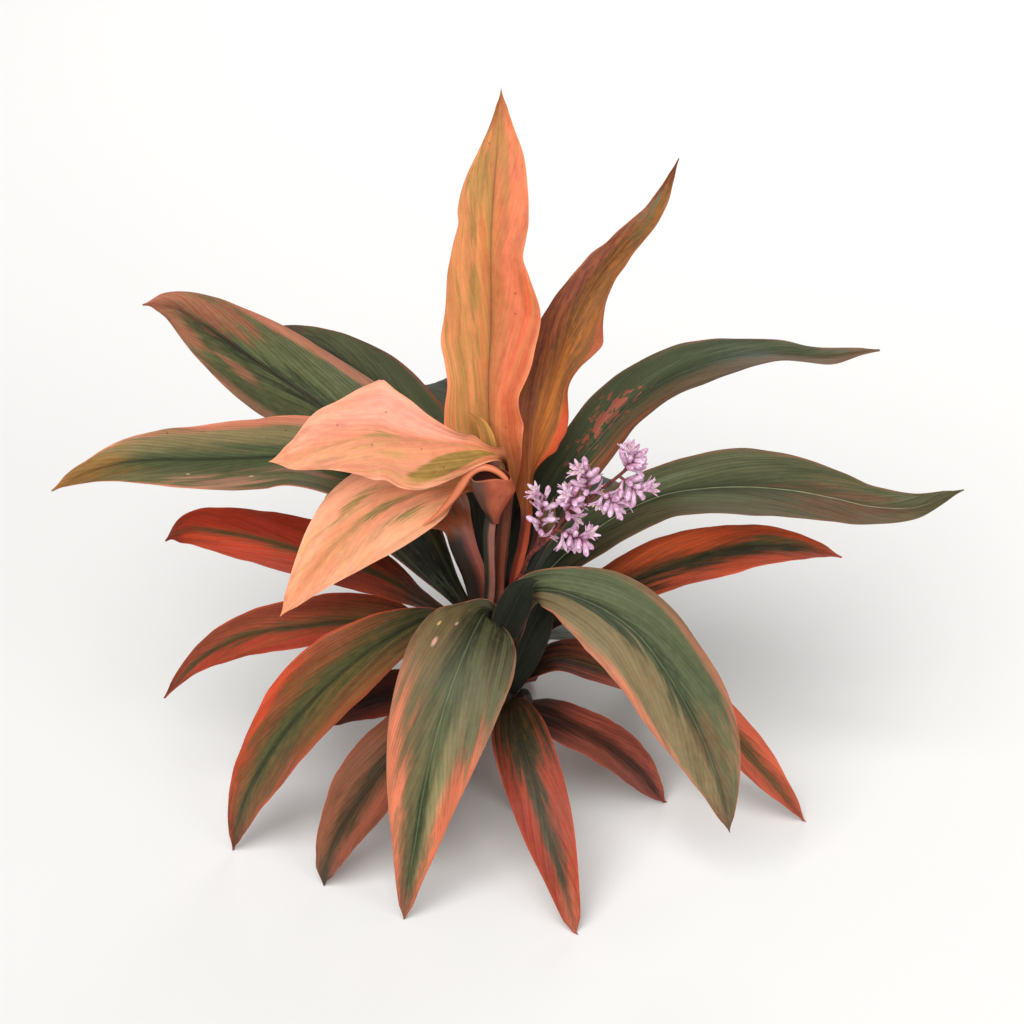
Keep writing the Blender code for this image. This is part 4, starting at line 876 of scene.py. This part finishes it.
# the funnel at the base of the leaf that bends down: an open cup with a rolled back lip
# each row is its middle across, its height, its half width and half depth, and how far back it is
cupLook = dict(
    node="leaf_bent_down", slot="salmon_leaf", around=56, wall=0.6 * mm, stepsPerRow=5,
    lift=5.4 * mm, dip=1.6 * mm,  # how far the rim rises at the back and waves
    cups=((-1, 76.5, 3.6, 3.0, -11), (-1.6, 81.5, 5, 3.8, -12), (-2.6, 88, 9, 5.2, -13),
          (-2.4, 95.5, 13.4, 6.2, -14), (-2, 102, 16.8, 6.8, -15), (-3.6, 107.5, 16.6, 6.8, -15.5),
          (-4.6, 111.6, 15.4, 6.4, -15.8)),
    lip=((-58, 74, -12), (-49, 81, -11.5), (-40.5, 89.5, -11), (-32.5, 99, -11), (-26.5, 108, -12),
         (-21, 115.5, -12.5), (-13.5, 120, -12.5), (-5, 119.8, -12.5), (2.5, 116, -13),
         (8.6, 110, -14.5), (12.4, 102.5, -15.5), (10.6, 97.5, -15.5)),
    lipRadii=(0.5, 1.4, 2.4, 3.2, 3.6, 3.4, 3.1, 2.8, 2.5, 2.2, 1.7, 0.8), lipSteps=5, lipSides=18,
    lipPale=42,  # the ring of the lip from which its pale tone fades
    body="#923A1E", shade="#34170B", lipTone="#D67850", streak="#A8502E", dark="#33261A")


def cupMesh():
    around, wall = cupLook["around"], cupLook["wall"]
    rows = smoothRows(cupLook["cups"], cupLook["stepsPerRow"]).tolist()
    outer, facts = [], []
    for index, (across, up, wide, deep, back) in enumerate(rows):
        share = index / (len(rows) - 1)
        for side in range(around):
            angle = 2 * math.pi * side / around
            wobble = 1 + share * (0.03 * math.sin(3 * angle + 1) + 0.02 * math.sin(7 * angle))
            rise = cupLook["lift"] * share ** 3 * max(math.sin(angle), 0)
            rise += cupLook["dip"] * share ** 2 * (0.8 * math.sin(3 * angle - 0.6) + max(-math.sin(angle), 0))
            spot = seen(across, up, back)
            step = Vector((wide * mm * wobble * math.cos(angle), deep * mm * wobble * math.sin(angle), rise))
            outer.append(spot + step)
            facts.append((share, math.cos(angle), 0.0))
    total = len(rows)
    points, faces = list(outer), []
    for row in range(total):
        middle = sum((outer[row * around + side] for side in range(around)), Vector()) / around
        for side in range(around):
            spot = outer[row * around + side]
            points.append(spot - (spot - middle).normalized() * wall + Vector((0, 0, wall * 0.4)))
            facts.append((facts[row * around + side][0], facts[side][1], 1.0))
    inner = total * around
    for row in range(total - 1):
        for side in range(around):
            a, b = row * around + side, row * around + (side + 1) % around
            faces.append((a, b, b + around, a + around))
            faces.append((inner + a, inner + a + around, inner + b + around, inner + b))
    for row, turned in ((0, True), (total - 1, False)):
        for side in range(around):
            a, b = row * around + side, row * around + (side + 1) % around
            face = (a, b, inner + b, inner + a)
            faces.append(face[::-1] if turned else face)
    steps, sides = cupLook["lipSteps"], cupLook["lipSides"]
    line = [Vector(row) for row in smoothRows([tuple(seen(*point)) for point in cupLook["lip"]], steps)]
    radii = [row[0] * mm for row in smoothRows([(radius,) for radius in cupLook["lipRadii"]], steps).tolist()]
    lip = ([], [], [])
    addTube(lip, line, radii, sides, 0)
    before = len(points)
    points += lip[0]
    faces += [tuple(before + corner for corner in face) for face in lip[1]]
    for index in range(len(lip[0])):
        facts.append((1.2 - 0.4 * max(0, index // sides - cupLook["lipPale"]) / 14, 1.0, 0.0))
    return points, faces, facts


def cupMaterial():
    material, tree, shader = newMaterial("leafCup")
    height, sideways, inside = attributeParts(tree, "cupSpace")
    field = fill(tree, streakField,
                 {"Run": calc(tree, "MULTIPLY", sideways, 9.0), "Across": height, "Seed": 4.0})
    colour = blend(tree, field["Broad"], cupLook["body"], cupLook["streak"])
    # painted shade: the funnel's left side darker, where the stalk's shaded side runs up into it
    colour = blend(tree, ramp(tree, sideways, 0.05, -0.6, 0.0, 0.85), colour, cupLook["dark"])
    colour = blend(tree, ramp(tree, height, 0.4, 0.0, 0.0, 0.5), colour, cupLook["shade"])
    colour = blend(tree, ramp(tree, height, 0.92, 1.1), colour, cupLook["lipTone"])
    colour = blend(tree, calc(tree, "MULTIPLY", inside, 0.85), colour, cupLook["shade"])
    coat(tree, shader, colour, ramp(tree, field["Fine"], 0.0, 1.0, 0.4, 0.55), field["Fine"], 0.3, 0.5 * mm)
    return material


points, faces, facts = cupMesh()
cup = newPiece("leaf_bent_down_cup", points, faces, [cupMaterial()], facts={"cupSpace": facts})
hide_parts(cupLook["node"])
print("leaf funnel ready")


# the cane, ringed by the scars of fallen leaves, and cut level at its foot
caneLook = dict(
    rings=17, sides=64, stepsPerRing=12, ridge=0.5 * mm, flute=0.12 * mm, scarWidth=0.09,
    young="#6E6238", bark="#7A5E42", ring="#A08460", crack="#3C2A1C", cut="#C8AE84", pith="#E0CFA8")


def caneMesh():
    rings, sides = caneLook["rings"], caneLook["sides"]
    levels = rings * caneLook["stepsPerRing"] + 1
    draw = random.Random(5)
    tilts = [(draw.uniform(0, 6.3), draw.uniform(0.1, 0.3)) for _ in range(rings + 1)]
    points, facts = [], []
    for level in range(levels):
        height = plant["caneHeight"] * level / (levels - 1)
        centre = caneCentre(height)
        for side in range(sides):
            angle = 2 * math.pi * side / sides
            turn, amount = tilts[int(height / plant["caneHeight"] * rings)]
            phase = height / plant["caneHeight"] * rings + amount * math.cos(angle - turn)
            apart = abs(phase - round(phase))
            scar = math.exp(-(apart / caneLook["scarWidth"]) ** 2)
            radius = caneRadius(height) - caneLook["ridge"] * (1.0 - scar)
            radius -= caneLook["flute"] * math.sin(5 * angle + 9 * phase)
            points.append(centre + radius * Vector((math.cos(angle), math.sin(angle), 0)))
            facts.append((scar, height / plant["caneHeight"], angle))
    faces = ringFaces(0, levels, sides)
    marks = [0] * len(faces)
    for level, turned in ((0, True), (levels - 1, False)):
        middle = len(points)
        points.append(caneCentre(plant["caneHeight"] * level / (levels - 1)))
        facts.append((0.0, level / (levels - 1), 0.0))
        for side in range(sides):
            face = (level * sides + side, level * sides + (side + 1) % sides, middle)
            faces.append(face[::-1] if turned else face)
            marks.append(1)
    return points, faces, marks, facts


def barkMaterial():
    material, tree, shader = newMaterial("caneBark")
    scar, height, _ = attributeParts(tree, "caneSpace")
    here = place(tree, "ShaderNodeTexCoord").outputs["Object"]
    stretched = place(tree, "ShaderNodeMapping", {"Vector": here, "Scale": (900, 900, 160)}).outputs[0]
    fibre, blotch = noise(tree, stretched, 1.0, 4.0), noise(tree, here, 90.0, 3.0)
    colour = blend(tree, ramp(tree, height, 0.45, 0.95), caneLook["bark"], caneLook["young"])
    colour = blend(tree, ramp(tree, blotch, 0.4, 0.7, 0.0, 0.6), colour, caneLook["crack"])
    colour = blend(tree, ramp(tree, scar, 0.2, 0.8, 0.0, 0.75), colour, caneLook["ring"])
    colour = blend(tree, ramp(tree, fibre, 0.55, 0.75, 0.0, 0.5), colour, caneLook["crack"])
    coat(tree, shader, colour, ramp(tree, fibre, 0.3, 0.7, 0.7, 0.9), fibre, 0.6, 0.6 * mm)
    return material


def cutMaterial():
    material, tree, shader = newMaterial("caneCut")
    here = place(tree, "ShaderNodeTexCoord").outputs["Object"]
    speck = place(tree, "ShaderNodeTexVoronoi", {"Vector": here, "Scale": 900.0}).outputs["Distance"]
    cloud = noise(tree, here, 150.0, 3.0)
    colour = blend(tree, ramp(tree, cloud, 0.35, 0.65), caneLook["cut"], caneLook["pith"])
    colour = blend(tree, ramp(tree, speck, 0.35, 0.1, 0.0, 0.5), colour, caneLook["bark"])
    coat(tree, shader, colour, ramp(tree, cloud, 0.3, 0.7, 0.75, 0.95), speck, 0.4, 0.4 * mm)
    return material


points, faces, marks, facts = caneMesh()
cane = newPiece("cane_bark", points, faces, [barkMaterial(), cutMaterial()], marks, {"caneSpace": facts})
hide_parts("cane")
print("cane ready")


# the flower panicle: its stalk, side branches, buds, open florets and the bract below them
panicleLook = dict(
    seat=(194, -33),
    stalk=((16, 26, -8), (22, 38, -12), (27, 50, -18), (38, 60, -24), (49, 72, -28), (58, 84, -31),
           (70, 90, -33), (82, 101, -35), (96, 112, -37), (108, 122, -38)),
    branches=(dict(leavesAt=(33, 56, -21), endsAt=(39, 98, -30), florets=13),
              dict(leavesAt=(54, 79, -30), endsAt=(62, 98, -42), florets=13),
              dict(leavesAt=(48, 71, -28), endsAt=(71, 62, -44), florets=14),
              dict(leavesAt=(74, 94, -34), endsAt=(72, 118, -38), florets=13),
              dict(leavesAt=(84, 103, -36), endsAt=(96, 90, -48), florets=12),
              dict(leavesAt=(98, 114, -37), endsAt=(115, 101, -46), florets=13),
              dict(leavesAt=(102, 117, -38), endsAt=(110, 128, -38), florets=13)),
    stalkRadius=2.2 * mm, branchRadius=1.0 * mm, floretLength=15.5 * mm, openEvery=3, budRadius=2.25 * mm,
    tubeLength=8 * mm, petalLength=8.5 * mm, petalWidth=3.0 * mm, stamenLength=6 * mm,
    petalTone="#E8BCD4", petalStripeAndShade="#B478A2", throat="#F6E6F2", bud="#B27CAA", calyx="#7E3E50",
    stem="#7B3226", stemDark="#4A1E18", anther="#E8D9A0", filament="#F1E4EE")


def addPetal(store, root, along, outward, length, width, recurve):  # a thin closed petal that bends outwards
    points, faces, marks, runs = store
    begin = len(points)
    sideways = along.cross(outward).normalized()
    rows, columns = 8, 5
    for level in range(rows):
        share = level / (rows - 1)
        bend = recurve * share ** 1.5
        centre = root + length * share * (math.cos(bend / 2) * along + math.sin(bend / 2) * outward)
        heading = math.cos(bend) * along + math.sin(bend) * outward
        face = sideways.cross(heading).normalized()
        half = width / 2 * (0.55 + 1.5 * share - 1.75 * share ** 3) + 0.1 * mm
        for under in (0, 1):
            for column in range(columns):
                out = 2 * column / (columns - 1) - 1
                lift = 0.35 * half * out * out - 0.16 * mm * under
                points.append(centre + sideways * out * half + face * lift)
                runs.append((0.4 + 0.6 * share, abs(out), 0))
    around = [*range(columns), *reversed(range(columns, 2 * columns))]
    for level in range(rows - 1):
        low, high = begin + level * 2 * columns, begin + (level + 1) * 2 * columns
        for index, corner in enumerate(around):
            after = around[(index + 1) % len(around)]
            faces.append((low + corner, low + after, high + after, high + corner))
            marks.append(0)
    faces.append(tuple(begin + corner for corner in around)[::-1])
    faces.append(tuple(begin + (rows - 1) * 2 * columns + corner for corner in around))
    marks.extend([0, 0])


def addBud(store, root, along, length, radius, draw):  # a ribbed closed bud on a short foot
    points, faces, marks, runs = store
    first, second = ringBasis(along)
    begin, sides = len(points), 12
    profile = ((0.0, 0.45), (0.1, 0.5), (0.16, 0.72), (0.35, 0.8), (0.55, 0.86), (0.72, 1.0), (0.86, 0.85),
               (0.95, 0.5), (1.0, 0.12))
    lean = first * draw.uniform(-0.1, 0.1) + second * draw.uniform(-0.1, 0.1)
    for share, size in profile:
        centre = root + length * share * (along + lean * share)
        for side in range(sides):
            angle = 2 * math.pi * side / sides
            reach = radius * size * (1 + 0.1 * math.cos(6 * angle) * min(share * 2, 1))
            points.append(centre + reach * (math.cos(angle) * first + math.sin(angle) * second))
            runs.append((share, 0.5 - 0.5 * math.cos(6 * angle), 0))
    faces.extend(ringFaces(begin, len(profile), sides) + ringCaps(begin, len(profile), sides))
    marks.extend([1] * 2 * sides + [0] * (len(profile) - 3) * sides + [1, 0])


def addOpenFloret(petals, stamens, root, along, draw):
    first, second = ringBasis(along)
    tube = panicleLook["tubeLength"]
    line = [root, root + along * tube * 0.25, root + along * tube * 0.6, root + along * tube]
    addTube(petals, line, [0.8 * mm, 1.1 * mm, 1.3 * mm, 1.7 * mm], 12, 0)
    mouth = root + along * tube * 0.93
    for petal in range(6):
        angle = 2 * math.pi * petal / 6 + draw.uniform(-0.1, 0.1)
        outward = math.cos(angle) * first + math.sin(angle) * second
        recurve = math.radians(draw.uniform(30, 75))
        addPetal(petals, mouth + outward * 1.3 * mm, (along + 0.35 * outward).normalized(), outward,
                 panicleLook["petalLength"] * draw.uniform(0.9, 1.08), panicleLook["petalWidth"], recurve)
        spread = (along + outward * 0.42).normalized()
        start = mouth + outward * 0.7 * mm
        end = start + spread * panicleLook["stamenLength"] * draw.uniform(0.85, 1.1)
        addTube(stamens, [start, start.lerp(end, 0.5) + along * 0.3 * mm, end], [0.22 * mm] * 3, 5, 0)
        addTube(stamens, [end - outward * 0.8 * mm, end + along * 0.15 * mm, end + outward * 0.8 * mm],
                [0.25 * mm, 0.45 * mm, 0.25 * mm], 6, 1)
    addTube(stamens, [mouth, mouth + along * panicleLook["stamenLength"] * 1.1], [0.25 * mm, 0.2 * mm], 5, 0)


def floretMaterial(name, main, stripe):
    material, tree, shader = newMaterial(name)
    here = place(tree, "ShaderNodeTexCoord").outputs["Object"]
    cloud, broad = noise(tree, here, 420.0, 3.0), noise(tree, here, 70.0, 1.0)
    colour = blend(tree, ramp(tree, cloud, 0.38, 0.68), main, stripe)
    colour = blend(tree, ramp(tree, broad, 0.35, 0.65, 0.0, 0.35), colour, panicleLook["throat"])
    share, side, _ = attributeParts(tree, "floretSpace")
    colour = blend(tree, ramp(tree, share, 0.5, 0.05, 0.0, 0.75), colour, panicleLook["calyx"])
    # the stripe tone along the petals' edges, and as painted shade in the grooves between a bud's ribs
    colour = blend(tree, ramp(tree, side, 0.55, 1.0, 0.0, 0.4), colour, panicleLook["petalStripeAndShade"])
    coat(tree, shader, colour, ramp(tree, cloud, 0.3, 0.7, 0.45, 0.65), cloud, 0.3, 0.3 * mm)
    letLightIn(shader, 0.2, (1.0, 0.6, 0.9), 2 * mm)
    return material


def stemMaterial():
    material, tree, shader = newMaterial("flowerStem")
    here = place(tree, "ShaderNodeTexCoord").outputs["Object"]
    cloud = noise(tree, here, 260.0, 3.0)
    colour = blend(tree, ramp(tree, cloud, 0.35, 0.65), panicleLook["stem"], panicleLook["stemDark"])
    coat(tree, shader, colour, ramp(tree, cloud, 0.3, 0.7, 0.45, 0.6), cloud, 0.3, 0.4 * mm)
    return material


def makePanicle():
    draw = random.Random(7)
    outward, start = seatOf(panicleLook["seat"])
    rows = [tuple(start), tuple(start + outward * 7 * mm)]
    rows += [tuple(seen(*point)) for point in panicleLook["stalk"]]
    line = [Vector(row) for row in smoothRows(rows, 6)]
    count = len(line)
    stems, petals, stamens = ([], [], []), ([], [], [], []), ([], [], [], [])
    radii = [panicleLook["stalkRadius"] * (1 - 0.45 * i / (count - 1)) for i in range(count)]
    addTube(stems, line, radii, 20, 0)
    for branch in panicleLook["branches"]:
        root, tip = seen(*branch["leavesAt"]), seen(*branch["endsAt"])
        reach = (tip - root).normalized()
        spine = [root.lerp(tip, share / 8) for share in range(9)]
        addTube(stems, spine, [panicleLook["branchRadius"] * (1.3 - 0.6 * i / 8) for i in range(9)], 12, 0)
        for each in range(branch["florets"]):
            share = 0.2 + 0.8 * (each + 0.5) / branch["florets"]
            around = 2.4 * each + draw.uniform(-0.3, 0.3)
            level = reach.cross(toward).normalized()
            ringward = math.cos(around) * level + math.sin(around) * reach.cross(level)
            heading = (reach * (0.25 + 0.5 * share) + ringward * 0.9).normalized()
            spot = root.lerp(tip, share)
            if each % panicleLook["openEvery"] == 0:
                addOpenFloret(petals, stamens, spot, heading, draw)
            else:
                addBud(petals, spot, heading, panicleLook["floretLength"] * draw.uniform(0.78, 1.0),
                       panicleLook["budRadius"], draw)
    made = (newPiece("panicle_stems", stems[0], stems[1], [stemMaterial()], stems[2]),
            newPiece("panicle_florets", petals[0], petals[1],
                     [floretMaterial("floretPetal", panicleLook["petalTone"], panicleLook["petalStripeAndShade"]),
                      floretMaterial("floretCalyx", panicleLook["calyx"], panicleLook["bud"])], petals[2],
                     {"floretSpace": petals[3]}),
            newPiece("panicle_stamens", stamens[0], stamens[1],
                     [floretMaterial("filament", panicleLook["filament"], panicleLook["petalTone"]),
                      floretMaterial("anther", panicleLook["anther"], "#C9B070")], stamens[2],
                     {"floretSpace": [(1, 0, 0)] * len(stamens[0])}))
    for piece, slotName in zip(made, ("floret_stalk", "lilac_floret", "lilac_floret")):
        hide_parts("panicle")


makePanicle()

bract = dict(
    node="panicle", slot="olive_leaf", fold=0.3, wave=(0, 0, 0), centre="#6A6238", left="#7A5A38",
    right="#84603C", band=(0.1, 0.5), margin="#B4573A", tip="#8A4A30", base="#7A3A28", streak="#5A5A34",
    streaks=(0.5, 0.5), midrib="#8A7A48", stalk="#7B3226", channel="#4A1E18", under="#8A6A4A",
    path=((25, 46, -15, 3, 0), (30, 56, -10, 6, 0), (35, 66, -6, 11, 0), (40, 78, -3, 15, 0),
          (44, 88, -1, 9, 0), (46, 97, 1, 1.5, 0)))
makeLeaf(bract, "panicle_bract", 40)
print("panicle ready")


# the sheaths that clasp the cane below the front right leaf, coloured near black as painted shade deep in the
# crown
sheathShadeTones = dict(
    centre="#15180F", left="#1E2216", right="#1A1E14", band=(0.1, 0.5), margin="#4A2E20", tip="#262B1C",
    base="#0F0F0A", streak="#1C2016", streaks=(0.5, 0.5), midrib="#2C3020", stalk="#241E16",
    channel="#14140E", under="#1A1A12", rough=0.65, baseShadeTo=0.2)
frontSheath = dict(
    sheathShadeTones, node="leaf_front_right", slot="dark_leaf", fold=0.35, wave=(0, 0, 0),
    path=((3, -22, -24, 14, 0), (8, -6, -30, 24, 0), (14, 8, -36, 27, 0), (20, 20, -40, 24, 0),
          (27, 28, -42, 14, 0), (34, 30, -43, 1.5, 0)))
backSheath = dict(
    sheathShadeTones, node="leaf_right_behind", slot="dark_leaf", fold=0.25, wave=(0, 0, 0),
    path=((5, -62, -12, 16, 0), (13, -44, -14, 26, 0), (22, -24, -15, 32, 0), (31, -4, -14, 30, 0),
          (38, 12, -12, 18, 0), (42, 24, -10, 1.5, 0)))
makeLeaf(frontSheath, "leaf_front_right_sheath", 41)
makeLeaf(backSheath, "leaf_right_behind_sheath", 42)
print("sheaths ready")


# the floor, the light and the camera

def plainFloor():
    mesh = bpy.data.meshes.new("floor")
    mesh.from_pydata([(-20, -20, 0), (20, -20, 0), (20, 20, 0), (-20, 20, 0)], [], [(0, 1, 2, 3)])
    material, _, shader = newMaterial("paleFloor")
    shader.inputs["Base Color"].default_value = tone("#F4F3F1")
    shader.inputs["Roughness"].default_value = 0.9
    shader.inputs["Specular IOR Level"].default_value = 0.1
    mesh.materials.append(material)
    floor = newObject("floor", mesh)


def aimed(name, lamp, place, target):
    holder = newObject(name, lamp)
    holder.location = place
    holder.rotation_euler = (Vector(target) - Vector(place)).to_track_quat("-Z", "Y").to_euler()


def softLight(name, place, size, watts):
    lamp = bpy.data.lights.new(name, "AREA")
    lamp.shape = "DISK"
    lamp.size = size
    lamp.energy = watts
    aimed(name, lamp, place, (0, 0, 0.25))


def softSun(name, place, strength, spread):
    lamp = bpy.data.lights.new(name, "SUN")
    lamp.energy = strength
    lamp.angle = math.radians(spread)
    aimed(name, lamp, place, (0, 0, 0))


plainFloor()
softSun("keyLight", (-0.4, -1.25, 1.45), 3.0, 50)
softLight("frontLight", (1.6, -2.2, 1.5), 1.6, 20)
softLight("backLight", (0.6, 2.4, 1.6), 1.6, 14)
world = bpy.data.worlds.new("paleRoom")
world.use_nodes = True
world.node_tree.nodes["Background"].inputs[0].default_value = tone("#F6F6F5")
world.node_tree.nodes["Background"].inputs[1].default_value = 0.22
bpy.context.scene.world = world

camera = bpy.data.cameras.new("camera")
camera.sensor_width = 36
camera.lens = 36 * plant["eyeDistance"] / plant["viewWidth"]
cameraHolder = newObject("camera", camera)
cameraHolder.location = eye + shift
cameraHolder.rotation_euler = (-toward).to_track_quat("-Z", "Y").to_euler()
bpy.context.scene.camera = cameraHolder
bpy.context.scene.view_settings.view_transform = "Standard"
print("floor, light and camera ready")
